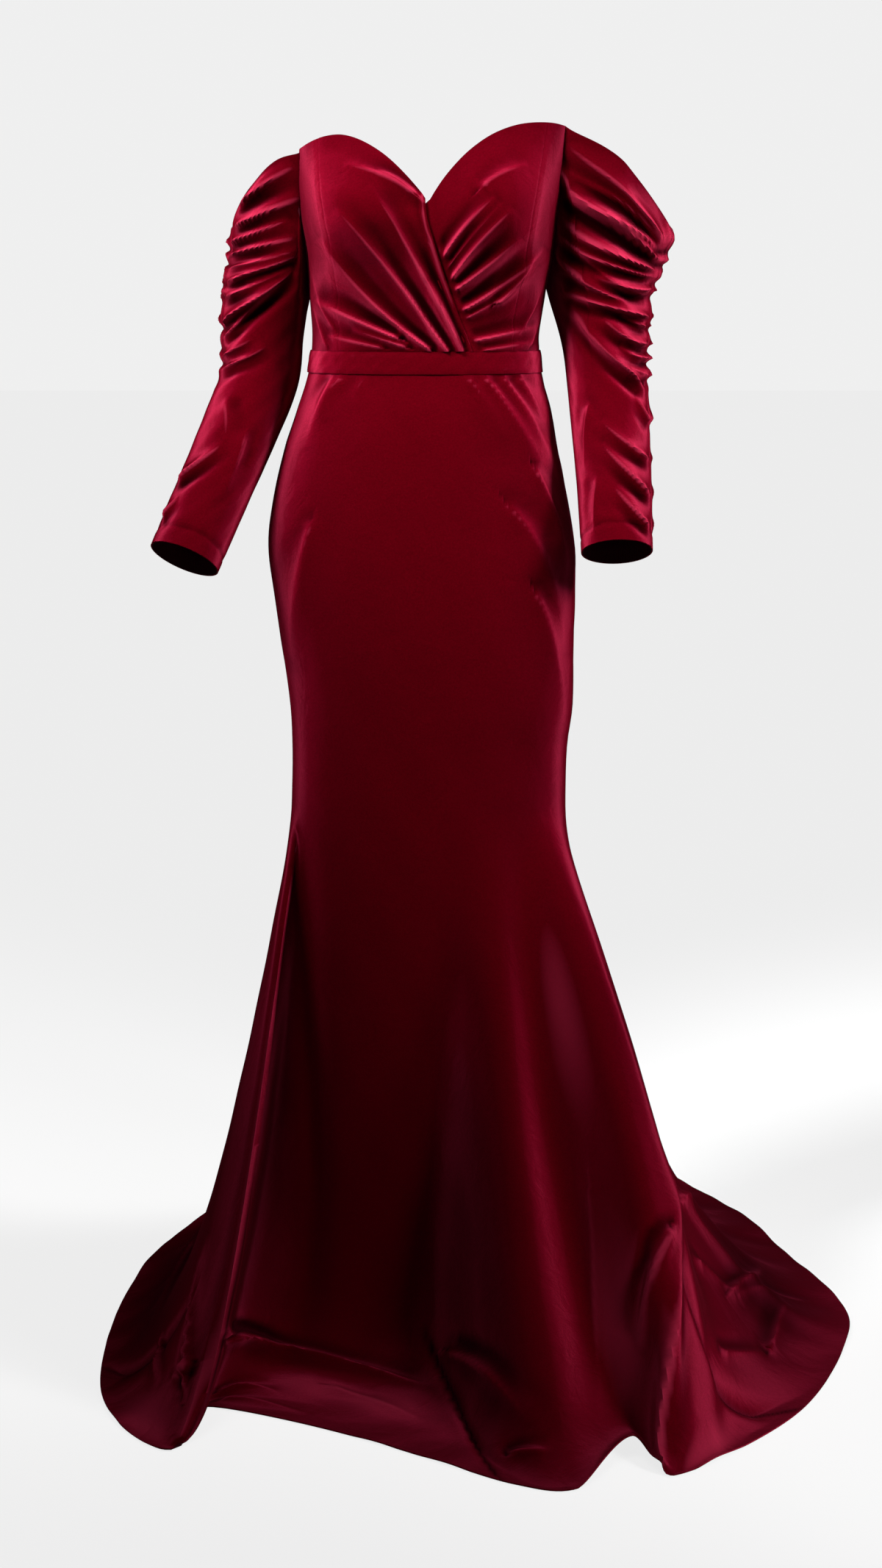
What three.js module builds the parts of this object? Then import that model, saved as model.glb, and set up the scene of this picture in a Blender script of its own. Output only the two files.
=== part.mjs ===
// An off-shoulder velvet mermaid gown, worn by nobody: a hollow shell of sewn panels in its worn pose.
// Millimetres, +Z up. The front faces -Y and +X is the wearer's left.
// The origin is the centre of the waist.
import * as THREE from "three";

// Driving sizes
const WAIST_HEIGHT = 1140;
const FLOOR = -WAIST_HEIGHT;
const KNEE = -500; // where the fitted skirt ends and the flare starts
const WALL = 2; // velvet with its lining
const GAP = 0.3; // between two pieces at a seam
const BAND_HALF = 12.5; // half the height of the waistband
const BAND_PROUD = 2.2; // how far the waistband stands out from the panels
const BAND_WALL = 3;
const V_HEIGHT = 173; // bottom of the neckline's V
const BACK_TOP = 158; // straight back neckline
const BACK_DIP = 8; // how far it drops at the centre back
const UNDERARM = 90; // bottom of the armhole
const PRINCESS = 47; // degrees from centre front to the princess seam
const CORNER = 68; // degrees to the neckline's outer corner, where the armhole starts
const SIDE = 95; // degrees to the side seam of the bodice
const BACK_CORNER = 128; // degrees to where the armhole meets the back neckline
const SKIRT_SIDE = 85; // degrees to the side seam of the skirt, at the knee
const WRAP_UNDER = 12; // how far the under front runs on beneath the over front
const LOOP_DROP = 3; // how far a sleeve's top laps below the armhole's edge
const LAP_EASE = 0.4; // slack between the two there

// The figure inside the cloth: its middle, half width, and depths in front and behind.
// A larger square makes it boxier.
const BODY = [
  { z: -500, mid: 0, half: 156, front: 90, back: 98, square: 2.2 },
  { z: -440, mid: 1, half: 156, front: 91, back: 100, square: 2.2 },
  { z: -390, mid: 3, half: 160, front: 94, back: 106, square: 2.2 },
  { z: -305, mid: -2, half: 167, front: 99, back: 119, square: 2.2 },
  { z: -222, mid: -7, half: 173, front: 101, back: 131, square: 2.2 },
  { z: -180, mid: -9, half: 170, front: 100, back: 129, square: 2.2 },
  { z: -96, mid: -8, half: 153, front: 97, back: 108, square: 2.2 },
  { z: -54, mid: -5, half: 142, front: 93, back: 93, square: 2.2 },
  { z: -10, mid: -4, half: 129, front: 86, back: 78, square: 2.2 },
  { z: 30, mid: -3, half: 126, front: 84, back: 76, square: 2.2 },
  { z: 77, mid: -1, half: 130, front: 89, back: 82, square: 2.3 },
  { z: 118, mid: 1, half: 136, front: 93, back: 87, square: 2.4 },
  { z: 160, mid: 0, half: 143, front: 95, back: 92, square: 2.6 },
  { z: 200, mid: 1, half: 148, front: 93, back: 96, square: 2.8 },
  { z: 265, mid: 5, half: 154, front: 84, back: 98, square: 3.0 },
];

// The bust's two cups, each a soft swelling of the front.
const CUP = { x: 86, z: 162, spread: 62, depth: 35 };

// Neckline from the V outwards: how far it rises, the share of the way to its peak, how sharply it
// turns there, and the drop to the corner.
const NECK = {
  right: { rise: 74, peak: 0.69, power: 1.75, drop: 14 },
  left: { rise: 88, peak: 0.85, power: 2.5, drop: 3 },
};

// The over front's edge, from the V down to the waist.
const WRAP_EDGE = [
  { z: 13, x: 48 },
  { z: 48, x: 35 },
  { z: 87, x: 21 },
  { z: 121, x: 10 },
  { z: 157, x: -1 },
  { z: 175, x: -3 },
];

// Pleats of the two fronts, seen from the front, from (x0, z0) at the waist or the edge
// to (x1, z1) on the bust.
const PLEATS = {
  over: [
    { x0: 35, z0: 12, x1: -81, z1: 197, bow: 11, width: 6, height: 3.6 },
    { x0: 19, z0: 12, x1: -99, z1: 168, bow: 5, width: 6.5, height: 3.8 },
    { x0: -1, z0: 12, x1: -120, z1: 138, bow: -6, width: 7, height: 3.6 },
    { x0: -26, z0: 12, x1: -124, z1: 70, bow: -7, width: 8, height: 3.4 },
    { x0: -40, z0: 12, x1: -118, z1: 33, bow: -2, width: 6, height: 2.4 },
    { x0: -17, z0: 186, x1: -92, z1: 226, bow: -6, width: 6, height: 2.2 },
  ],
  under: [
    { x0: 12, z0: 110, x1: 73, z1: 184, bow: 3, width: 6, height: 3 },
    { x0: 20, z0: 86, x1: 88, z1: 168, bow: -2, width: 6, height: 3.4 },
    { x0: 28, z0: 76, x1: 100, z1: 138, bow: -4, width: 6.5, height: 3.2 },
    { x0: 34, z0: 53, x1: 112, z1: 114, bow: -7, width: 7, height: 3.2 },
    { x0: 56, z0: 20, x1: 118, z1: 38, bow: -4, width: 7, height: 2.2 },
  ],
};

// The skirt below the knee, a row for each line down it. knee is its angle there, and x and y
// its end at the hem. It drops by fall before it turns, having leant out by lean, and meets the
// floor at reach of the way to the hem. side carries it sideways, and lift raises the hem.
const DRAPE = [
  { line: "train centre", knee: -180, x: 40, y: 850, fall: 0.3, reach: 0.42 },
  { line: "train fold 1", knee: -164, x: -80, y: 785, fall: 0.34, reach: 0.36 },
  { line: "train fold 2", knee: -148, x: -180, y: 670, fall: 0.3, reach: 0.44 },
  { line: "train fold 3", knee: -134, x: -268, y: 525, fall: 0.36, reach: 0.36 },
  { line: "left train", knee: -120, x: -338, y: 345, fall: 0.34, reach: 0.44 },
  { line: "left hollow", knee: -108, x: -374, y: 110, fall: 0.38, reach: 0.44 },
  { line: "left spread", knee: -97, x: -373, y: -165, fall: 0.34, lean: 0.14, reach: 0.47 },
  { line: "left toe", knee: -89, x: -338, y: -308, fall: 0.36, lean: 0.27, reach: 0.56 },
  { line: "left fold", knee: -81, x: -284, y: -388, fall: 0.3, lean: 0.28, reach: 0.72, side: 10 },
  { line: "fold edge", knee: -74, x: -258, y: -358, fall: 0.3, lean: 0.26, reach: 0.82, side: 36, lift: 3 },
  { line: "fold inside", knee: -66, x: -252, y: -270, fall: 0.5, lean: 0.1, reach: 0.5, side: -16, lift: 2 },
  { line: "left valley", knee: -55, x: -222, y: -266, fall: 0.9, reach: 0.14 },
  { line: "front left", knee: -38, x: -146, y: -306, fall: 0.97, lean: 0.02, reach: 0.08 },
  { line: "front puddle", knee: -18, x: -65, y: -361, fall: 1, reach: 0.06 },
  { line: "front middle", knee: 0, x: 14, y: -425, fall: 0.92, lean: 0.02, reach: 0.14 },
  { line: "front swell", knee: 14, x: 90, y: -486, fall: 0.56, lean: 0.1, reach: 0.5 },
  { line: "front tip", knee: 25, x: 152, y: -500, fall: 0.42, lean: 0.1, reach: 0.66 },
  { line: "front arch", knee: 38, x: 214, y: -412, fall: 0.44, lean: 0.12, reach: 0.7, side: 10, lift: 24 },
  { line: "right fold", knee: 52, x: 250, y: -464, fall: 0.3, lean: 0.2, reach: 0.88, side: 78 },
  { line: "right flank", knee: 66, x: 327, y: -393, fall: 0.36, lean: 0.46, reach: 0.56, side: 66 },
  { line: "right spread", knee: 79, x: 416, y: -261, fall: 0.34, lean: 0.22, reach: 0.5 },
  { line: "right hollow", knee: 92, x: 480, y: -80, fall: 0.36, reach: 0.46 },
  { line: "right corner", knee: 106, x: 503, y: 70, fall: 0.36, reach: 0.42 },
  { line: "right train", knee: 120, x: 462, y: 262, fall: 0.32, reach: 0.46 },
  { line: "train fold 4", knee: 134, x: 402, y: 488, fall: 0.36, reach: 0.36 },
  { line: "train fold 5", knee: 148, x: 318, y: 652, fall: 0.3, reach: 0.44 },
  { line: "train fold 6", knee: 164, x: 190, y: 795, fall: 0.34, reach: 0.36 },
  { line: "train centre", knee: 180, x: 40, y: 850, fall: 0.3, reach: 0.42 },
].map((row, place) => ({ place, lean: 0, side: 0, lift: 0, ...row }));

// Drag lines on the fitted skirt, from below the waistband down over each hip, seen from the front.
const HIP_DRAGS = [
  { x0: 88, z0: -14, x1: 142, z1: -120, bow: 8, width: 9, height: 2.6 },
  { x0: 66, z0: -14, x1: 150, z1: -200, bow: 12, width: 11, height: 2.8 },
  { x0: 92, z0: -150, x1: 158, z1: -330, bow: 8, width: 13, height: 3 },
  { x0: -98, z0: -14, x1: -128, z1: -70, bow: -4, width: 9, height: 2 },
];

// The arm's centre line from the shoulder to the cuff, with the sleeve's half widths across
// and front to back.
const ARM = {
  left: [
    { x: 199, y: 8, z: 262, wide: 60, deep: 55 },
    { x: 199, y: 8, z: 190, wide: 61, deep: 56 },
    { x: 199, y: 8, z: 110, wide: 56, deep: 54 },
    { x: 199, y: 8, z: 70, wide: 51, deep: 52 },
    { x: 200, y: 7, z: 26, wide: 47, deep: 49 },
    { x: 202, y: 0, z: -20, wide: 44, deep: 46 },
    { x: 205, y: -21, z: -75, wide: 42, deep: 42 },
    { x: 208, y: -50, z: -135, wide: 40, deep: 40 },
    { x: 210, y: -84, z: -208, wide: 38, deep: 38 },
  ],
  right: [
    { x: -170, y: 14, z: 262, wide: 49, deep: 54 },
    { x: -170, y: 14, z: 190, wide: 50, deep: 55 },
    { x: -171, y: 14, z: 120, wide: 51, deep: 54 },
    { x: -180, y: 14, z: 75, wide: 51, deep: 52 },
    { x: -187, y: 12, z: 26, wide: 45, deep: 49 },
    { x: -192, y: 4, z: -20, wide: 42.5, deep: 46 },
    { x: -214, y: -18, z: -78, wide: 41, deep: 43 },
    { x: -241, y: -47, z: -142, wide: 39.5, deep: 40 },
    { x: -272, y: -82, z: -216, wide: 38.5, deep: 39 },
  ],
};

// The sleeve's free top edge by angle round the arm, from the front corner past the outside
// to the back corner.
const TOP_EDGE = {
  left: [
    { turn: 65, out: 0, z: 258 },
    { turn: 90, out: 0, z: 238 },
    { turn: 120, out: 0, z: 205 },
    { turn: 150, out: 6, z: 172 },
    { turn: 168, out: 14, z: 148 },
    { turn: 200, out: 6, z: 144 },
    { turn: 245, out: 0, z: 150 },
    { turn: 290, out: 0, z: 156 },
  ],
  right: [
    { turn: 65, out: 0, z: 229 },
    { turn: 90, out: 0, z: 221 },
    { turn: 120, out: 0, z: 194 },
    { turn: 150, out: 0, z: 165 },
    { turn: 168, out: 0, z: 148 },
    { turn: 200, out: 0, z: 144 },
    { turn: 245, out: 0, z: 150 },
    { turn: 290, out: 0, z: 156 },
  ],
};
const FRONT_TURN = 65; // angle round the arm of the front corner, from the underarm
const BACK_TURN = 290; // and of the back corner
const OUTER_SEAM = 165; // the gathered seam down the outer arm
const ARM_ROUND = 50; // radius at which the gathers are laid out
const CAP_SHARE = 0.42; // share of a sleeve's length that eases from the armhole into a tube

// Gathers drawn from (x0, z0) at the outer seam to (x1, z1), with x in degrees round the arm.
const GATHERS = [
  { x0: 163, z0: 136, x1: 62, z1: 250, bow: 8, width: 8, height: 4.4 },
  { x0: 166, z0: 124, x1: 66, z1: 192, bow: 13, width: 7, height: 4.6 },
  { x0: 160, z0: 104, x1: 54, z1: 158, bow: 16, width: 7, height: 4.8 },
  { x0: 164, z0: 88, x1: 40, z1: 132, bow: 12, width: 7, height: 4.4 },
  { x0: 166, z0: 66, x1: 30, z1: 98, bow: 9, width: 7.5, height: 4.6 },
  { x0: 164, z0: 40, x1: 32, z1: 82, bow: 7, width: 8, height: 4.4 },
  { x0: 162, z0: 12, x1: 60, z1: 52, bow: 8, width: 9, height: 4 },
  { x0: 160, z0: -48, x1: 62, z1: 38, bow: 6, width: 10, height: 3.6 },
  { x0: 158, z0: -128, x1: 84, z1: -62, bow: 4, width: 10, height: 3 },
];

// Columns and rows of each panel's grid
const GRID = {
  front: { across: 20, up: 22 },
  side: { front: 3, armhole: 6, up: 11 },
  back: { armhole: 5, rest: 5, up: 11 },
  band: { front: 20, back: 10 },
  skirt: { perLine: 2, fitted: 9, flared: 13 },
  sleeve: { front: 9, back: 6, down: 24 },
};

const rad = (degrees) => (degrees * Math.PI) / 180;
const mix = (a, b, t) => a + (b - a) * t;
const ease = (t) => {
  const s = Math.min(1, Math.max(0, t));
  return s * s * (3 - 2 * s);
};

// A column of a table at a place along its key, on a smooth curve through the rows.
function read(table, key, column, at) {
  const last = table.length - 1;
  const rising = table[last][key] > table[0][key] ? 1 : -1;
  let i = 0;
  while (i < last - 1 && rising * (at - table[i + 1][key]) > 0) i += 1;
  const span = table[i + 1][key] - table[i][key];
  const slope = (k) => {
    const before = table[Math.max(0, k - 1)];
    const after = table[Math.min(last, k + 1)];
    return (after[column] - before[column]) / (after[key] - before[key]);
  };
  const t = Math.min(1, Math.max(0, (at - table[i][key]) / span));
  const a = table[i][column];
  const b = table[i + 1][column];
  const bend = (1 + 2 * t) * (1 - t) ** 2 * a + t * t * (3 - 2 * t) * b;
  return bend + span * (t * (1 - t) ** 2 * slope(i) + t * t * (t - 1) * slope(i + 1));
}

// The height at a point of folds drawn as bowed lines from (x0, z0) to (x1, z1), each fading to its end.
function folds(point, rows) {
  return rows.reduce((sum, { x0, z0, x1, z1, bow, width, height }) => {
    const [dx, dz] = [x1 - x0, z1 - z0];
    const length = Math.hypot(dx, dz);
    const along = ((point.x - x0) * dx + (point.z - z0) * dz) / length ** 2;
    const across = ((point.x - x0) * dz - (point.z - z0) * dx) / length;
    const t = Math.min(1, Math.max(0, along));
    const off = across - bow * 4 * t * (1 - t);
    const beyond = (along - t) * length;
    const fade = Math.sqrt(Math.max(0, 1 - t * t));
    return sum + height * fade * Math.exp(-((off * off + beyond * beyond) / (width * width)));
  }, 0);
}

// A point of a Bezier curve of any degree.
function bezier(points, t) {
  if (points.length === 1) return points[0];
  return bezier(points.slice(1).map((p, i) => points[i].clone().lerp(p, t)), t);
}

// A point of the worn figure, at an angle from centre front and a height.
function body(angle, z) {
  const half = read(BODY, "z", "half", z);
  const power = 2 / read(BODY, "z", "square", z);
  const s = Math.sin(rad(angle));
  const c = Math.cos(rad(angle));
  const depth = read(BODY, "z", c > 0 ? "front" : "back", z);
  const x = read(BODY, "z", "mid", z) + half * Math.sign(s) * Math.abs(s) ** power;
  const y = -depth * Math.sign(c) * Math.abs(c) ** power;
  const cup = (side) =>
    Math.exp(-(((x - side * CUP.x) / CUP.spread) ** 2) - ((z - CUP.z) / CUP.spread) ** 2);
  const swell = c > 0 ? CUP.depth * (cup(1) + cup(-1)) * Math.min(1, 1.6 * c) : 0;
  return new THREE.Vector3(x, y - swell, z);
}

// The angle from centre front at which the figure is x wide, at a height.
function angleAt(x, z) {
  const off = x - read(BODY, "z", "mid", z);
  const share = Math.min(1, Math.abs(off) / read(BODY, "z", "half", z));
  const angle = Math.asin(share ** (read(BODY, "z", "square", z) / 2));
  return (Math.sign(off) * angle * 180) / Math.PI;
}

// The height of the bodice's top edge: the sweetheart neckline, the armhole, then the back.
function topEdge(angle) {
  const around = Math.abs(angle);
  const neck = angle < 0 ? NECK.right : NECK.left;
  if (around <= CORNER) {
    const cornerSine = Math.sin(rad(CORNER));
    const share = (Math.sin(rad(around)) / cornerSine) ** 0.7;
    if (share < neck.peak) return V_HEIGHT + neck.rise * (1 - (1 - share / neck.peak) ** neck.power);
    return V_HEIGHT + neck.rise - neck.drop * ((share - neck.peak) / (1 - neck.peak)) ** 2;
  }
  const corner = V_HEIGHT + neck.rise - neck.drop;
  if (around <= SIDE) {
    return UNDERARM + (corner - UNDERARM) * ((SIDE - around) / (SIDE - CORNER)) ** 1.6;
  }
  if (around <= BACK_CORNER) {
    return UNDERARM + (BACK_TOP - UNDERARM) * ((around - SIDE) / (BACK_CORNER - SIDE)) ** 1.6;
  }
  return BACK_TOP - BACK_DIP * ease((around - BACK_CORNER) / (180 - BACK_CORNER));
}

const SEAM = BAND_HALF + GAP; // height of the bodice's lower edge; the skirt's upper edge is as far below

// Outward direction of a surface given by a function of u and v, with u to the wearer's left and v upwards.
function outward(surface, u, v, step) {
  const across = surface(u + step, v).sub(surface(u - step, v));
  const up = surface(u, v + step).sub(surface(u, v - step));
  return across.cross(up).normalize();
}

// A wall of cloth on a surface: its inside lies on the surface, its outside a wall and any relief
// away. across runs to the wearer's left, seen from the front, and up runs upwards. seams tells
// which of the two sides is drawn in by half a gap.
function cloth(sheet) {
  const { name, across, up, surface, relief = () => 0 } = sheet;
  const { wall = WALL, seams = [true, true], step = 1e-3 } = sheet;
  const rows = up.length;
  const columns = across.length;
  const inside = [];
  const outside = [];
  up.forEach((v) => {
    across.forEach((u) => {
      const point = surface(u, v);
      const normal = outward(surface, u, v, step);
      inside.push(point);
      outside.push(point.clone().addScaledVector(normal, wall + relief(u, v, point)));
    });
  });
  for (const skin of [inside, outside]) {
    for (let j = 0; j < rows; j += 1) {
      const ends = [
        [0, 1, seams[0]],
        [columns - 1, columns - 2, seams[1]],
      ];
      ends.forEach(([end, next, seam]) => {
        if (!seam) return;
        const a = skin[j * columns + end];
        const toward = skin[j * columns + next].clone().sub(a).setLength(GAP / 2);
        a.add(toward);
      });
    }
  }
  const count = rows * columns;
  const index = [];
  const at = (i, j) => j * columns + i;
  const quad = (a, b, c, d) => index.push(a, b, c, a, c, d);
  for (let j = 0; j < rows - 1; j += 1) {
    for (let i = 0; i < columns - 1; i += 1) {
      const [a, b, c, d] = [at(i, j), at(i + 1, j), at(i + 1, j + 1), at(i, j + 1)];
      quad(a + count, b + count, c + count, d + count);
      quad(a, d, c, b);
    }
  }
  const rim = [];
  for (let i = 0; i < columns - 1; i += 1) rim.push([at(i, 0), at(i + 1, 0)]);
  for (let j = 0; j < rows - 1; j += 1) rim.push([at(columns - 1, j), at(columns - 1, j + 1)]);
  for (let i = columns - 1; i > 0; i -= 1) rim.push([at(i, rows - 1), at(i - 1, rows - 1)]);
  for (let j = rows - 1; j > 0; j -= 1) rim.push([at(0, j), at(0, j - 1)]);
  rim.forEach(([a, b]) => quad(a, b, b + count, a + count));
  const geometry = new THREE.BufferGeometry();
  const points = [...inside, ...outside].flatMap((p) => [p.x, p.y, p.z]);
  geometry.setAttribute("position", new THREE.Float32BufferAttribute(points, 3));
  geometry.setIndex(index);
  geometry.computeVertexNormals();
  const velvet = new THREE.MeshStandardMaterial({ color: VELVET, roughness: 0.85, metalness: 0 });
  const mesh = new THREE.Mesh(geometry, velvet);
  mesh.name = name;
  return mesh;
}

const steps = (from, to, count) => Array.from({ length: count + 1 }, (_, i) => mix(from, to, i / count));
const VELVET = new THREE.Color(0x6d0a1c);
const gown = new THREE.Group();

// The angle of the over front's free edge at a height.
function wrapAngle(z, inset) {
  const x = read(WRAP_EDGE, "z", "x", z);
  return angleAt(x - inset, z);
}

// The two crossed fronts. The over front rises clear of the under front where they lap.
function addFronts() {
  const relief = (pleats) => (u, v, p) => folds(p, pleats);
  const overlap = (z) => 1 + (WRAP_UNDER - 1) * ease((V_HEIGHT - z) / 30);
  const vAngle = wrapAngle(V_HEIGHT, 0);
  const overFront = (u, v) => {
    const top = topEdge(Math.min(0, mix(-PRINCESS, vAngle, u)));
    const z = mix(SEAM, top, v);
    const edge = wrapAngle(z, 0);
    const angle = mix(-PRINCESS, edge, u);
    const point = body(angle, z);
    const lapStart = read(WRAP_EDGE, "z", "x", z) - overlap(z);
    const lap = ease((point.x - (lapStart - 30)) / 28);
    point.y -= (WALL + GAP + 0.5) * lap;
    return point;
  };
  const underFront = (u, v) => {
    const start = wrapAngle(V_HEIGHT, overlap(V_HEIGHT));
    const top = topEdge(Math.max(0, mix(start, PRINCESS, u))) - (u < 0.02 ? 1.5 : 0);
    const z = mix(SEAM, top, v);
    return body(mix(wrapAngle(z, overlap(z)), PRINCESS, u), z);
  };
  const underRelief = (u, v, p) => {
    const edge = read(WRAP_EDGE, "z", "x", p.z);
    return relief(PLEATS.under)(u, v, p) * ease((p.x - edge - 3) / 9);
  };
  const { across, up } = GRID.front;
  gown.add(
    cloth({
      name: "bodice_over_front",
      across: steps(0, 1, across),
      up: steps(0, 1, up),
      surface: overFront,
      relief: relief(PLEATS.over),
      seams: [true, false],
    }),
    cloth({
      name: "bodice_under_front",
      across: steps(0, 1, across - 4),
      up: steps(0, 1, up),
      surface: underFront,
      relief: underRelief,
      seams: [false, true],
    }),
  );
}

// Side panels from the princess seam to the side seam, and backs that meet at the centre-back closing.
function addSidesAndBacks() {
  const surface = (angle, v) => body(angle, mix(SEAM, topEdge(angle), v));
  const piece = (name, across, up) => cloth({ name, across, up: steps(0, 1, up), surface });
  const { side, back } = GRID;
  const sideAngles = [
    ...steps(PRINCESS, CORNER, side.front),
    ...steps(CORNER, SIDE, side.armhole).slice(1),
  ];
  const backAngles = [
    ...steps(SIDE, BACK_CORNER, back.armhole),
    ...steps(BACK_CORNER, 180, back.rest).slice(1),
  ];
  const mirrored = (angles) => angles.map((a) => -a).reverse();
  gown.add(
    piece("bodice_side_left", sideAngles, side.up),
    piece("bodice_side_right", mirrored(sideAngles), side.up),
    piece("bodice_back_left", backAngles, back.up),
    piece("bodice_back_right", mirrored(backAngles), back.up),
  );
}

// The waistband: a flat band round the waist that hides both seams' edges.
function addWaistband() {
  const surface = (angle, z) => {
    const p = body(angle, z);
    const flat = new THREE.Vector3(p.x, p.y, 0);
    return p.addScaledVector(flat.normalize(), BAND_PROUD - 1);
  };
  const piece = (name, from, to, count) =>
    cloth({
      name,
      across: steps(from, to, count),
      up: steps(-BAND_HALF, BAND_HALF, 2),
      surface,
      wall: BAND_WALL,
    });
  const { front, back } = GRID.band;
  gown.add(
    piece("waistband_front", -SIDE, SIDE, front),
    piece("waistband_back_left", SIDE, 180, back),
    piece("waistband_back_right", -180, -SIDE, back),
  );
}

// A point of the skirt: line counts along the drape table, and down is 0 at the waist,
// 1 at the knee and 2 at the hem.
function skirt(line, down) {
  const column = (name) => read(DRAPE, "place", name, line);
  const angle = column("knee");
  if (down <= 1) return body(angle, mix(-SEAM, KNEE, down));
  const t = down - 1;
  const knee = body(angle, KNEE);
  const hem = new THREE.Vector3(column("x"), column("y"), FLOOR + Math.max(0, column("lift")));
  const drop = FLOOR - KNEE;
  const below = knee.clone().lerp(hem, column("lean")).setZ(KNEE + drop * column("fall"));
  const touch = knee.clone().lerp(hem, column("reach")).setZ(FLOOR);
  below.x += column("side") / 2;
  touch.x += column("side");
  const start = knee.clone().setZ(KNEE + (drop * column("fall")) / 3);
  return bezier([knee, start, below, touch, hem], t);
}

// Where the skirt's side seams run, as places along the drape table.
function sideLine(angle) {
  let low = 0;
  let high = DRAPE.length - 1;
  for (let n = 0; n < 40; n += 1) {
    const middle = (low + high) / 2;
    if (read(DRAPE, "place", "knee", middle) < angle) low = middle;
    else high = middle;
  }
  return low;
}

// One front and two backs, which carry the train.
function addSkirt() {
  const { perLine, fitted, flared } = GRID.skirt;
  const surface = (line, up) => skirt(line, 2 - up);
  const relief = (line, up, p) => {
    if (up < 1 || p.y > 0) return 0;
    return folds(p, HIP_DRAGS);
  };
  const heights = [...steps(0, 1, flared), ...steps(1, 2, fitted).slice(1)];
  const left = sideLine(SKIRT_SIDE);
  const right = sideLine(-SKIRT_SIDE);
  const piece = (name, from, to) =>
    cloth({
      name,
      across: steps(from, to, Math.round((to - from) * perLine)),
      up: heights,
      surface,
      relief,
    });
  gown.add(
    piece("skirt_front", right, left),
    piece("skirt_back_left", left, DRAPE.length - 1),
    piece("skirt_back_right", 0, right),
  );
}

// The arm's centre, outward and backward directions at a share of the way from shoulder to cuff.
function armFrame(rows, share) {
  const at = share * (rows.length - 1);
  const indexed = rows.map((row, i) => ({ ...row, i }));
  const column = (name, place) => read(indexed, "i", name, place);
  const centre = (place) => new THREE.Vector3(column("x", place), column("y", place), column("z", place));
  const near = Math.min(rows.length - 1.02, Math.max(0.02, at));
  const axis = centre(near + 0.02).sub(centre(near - 0.02)).normalize();
  const across = new THREE.Vector3(1, 0, 0).addScaledVector(axis, -axis.x).normalize();
  const back = across.clone().cross(axis).normalize();
  return { centre: centre(at), across, back, wide: column("wide", at), deep: column("deep", at) };
}

// Where the sleeve's top lies at an angle round the arm: on the armhole, or on the free edge
// below the shoulder.
function sleeveTop(side, turn) {
  const sign = side === "left" ? 1 : -1;
  const around = ((turn % 360) + 360) % 360;
  if (around > FRONT_TURN && around < BACK_TURN) return { z: read(TOP_EDGE[side], "turn", "z", around) };
  const front = around <= FRONT_TURN;
  const share = front ? around / FRONT_TURN : (360 - around) / (360 - BACK_TURN);
  const angle = sign * mix(SIDE, front ? CORNER : BACK_CORNER, share);
  const z = topEdge(angle) - LOOP_DROP;
  const point = body(angle, z);
  const normal = outward(body, angle, z, 0.01);
  const facing = WALL * Math.max(0.7, Math.cos(rad(turn))); // the sleeve's own wall, as it faces the body
  return { z, point: point.addScaledVector(normal, WALL + GAP + LAP_EASE + facing) };
}

// A sleeve's surface: turn goes round the arm from the underarm over the front, and up goes
// from the cuff to the top.
function sleeveSurface(side) {
  const sign = side === "left" ? 1 : -1;
  const rows = ARM[side];
  const tube = (turn, share) => {
    const { centre, across, back, wide, deep } = armFrame(rows, share);
    const point = centre.addScaledVector(across, -sign * wide * Math.cos(rad(turn)));
    return point.addScaledVector(back, -deep * Math.sin(rad(turn)));
  };
  const shareAt = (z) => {
    let low = 0;
    let high = 0.6;
    for (let n = 0; n < 30; n += 1) {
      const middle = (low + high) / 2;
      if (armFrame(rows, middle).centre.z > z) low = middle;
      else high = middle;
    }
    return low;
  };
  const edgeOut = (turn) => read(TOP_EDGE[side], "turn", "out", turn);
  return (turn, up) => {
    const top = sleeveTop(side, turn);
    const start = shareAt(top.z);
    const point = tube(turn, mix(1, start, up));
    const cap = ease((up - 1 + CAP_SHARE) / CAP_SHARE);
    const around = ((turn % 360) + 360) % 360;
    if (top.point) {
      const shift = top.point.clone().sub(tube(turn, start));
      return point.addScaledVector(shift, cap ** 1.5);
    }
    const toFront = 1 - ease((around - FRONT_TURN) / 45);
    const toBack = 1 - ease((BACK_TURN - around) / 45);
    const anchor = sleeveTop(side, toFront > toBack ? FRONT_TURN : BACK_TURN);
    const anchorTurn = toFront > toBack ? FRONT_TURN : BACK_TURN;
    const shift = anchor.point.clone().sub(tube(anchorTurn, shareAt(anchor.z)));
    point.addScaledVector(shift, cap ** 1.5 * Math.max(toFront, toBack));
    point.x += sign * edgeOut(around) * ease((up - 0.8) / 0.2);
    return point;
  };
}

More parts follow.
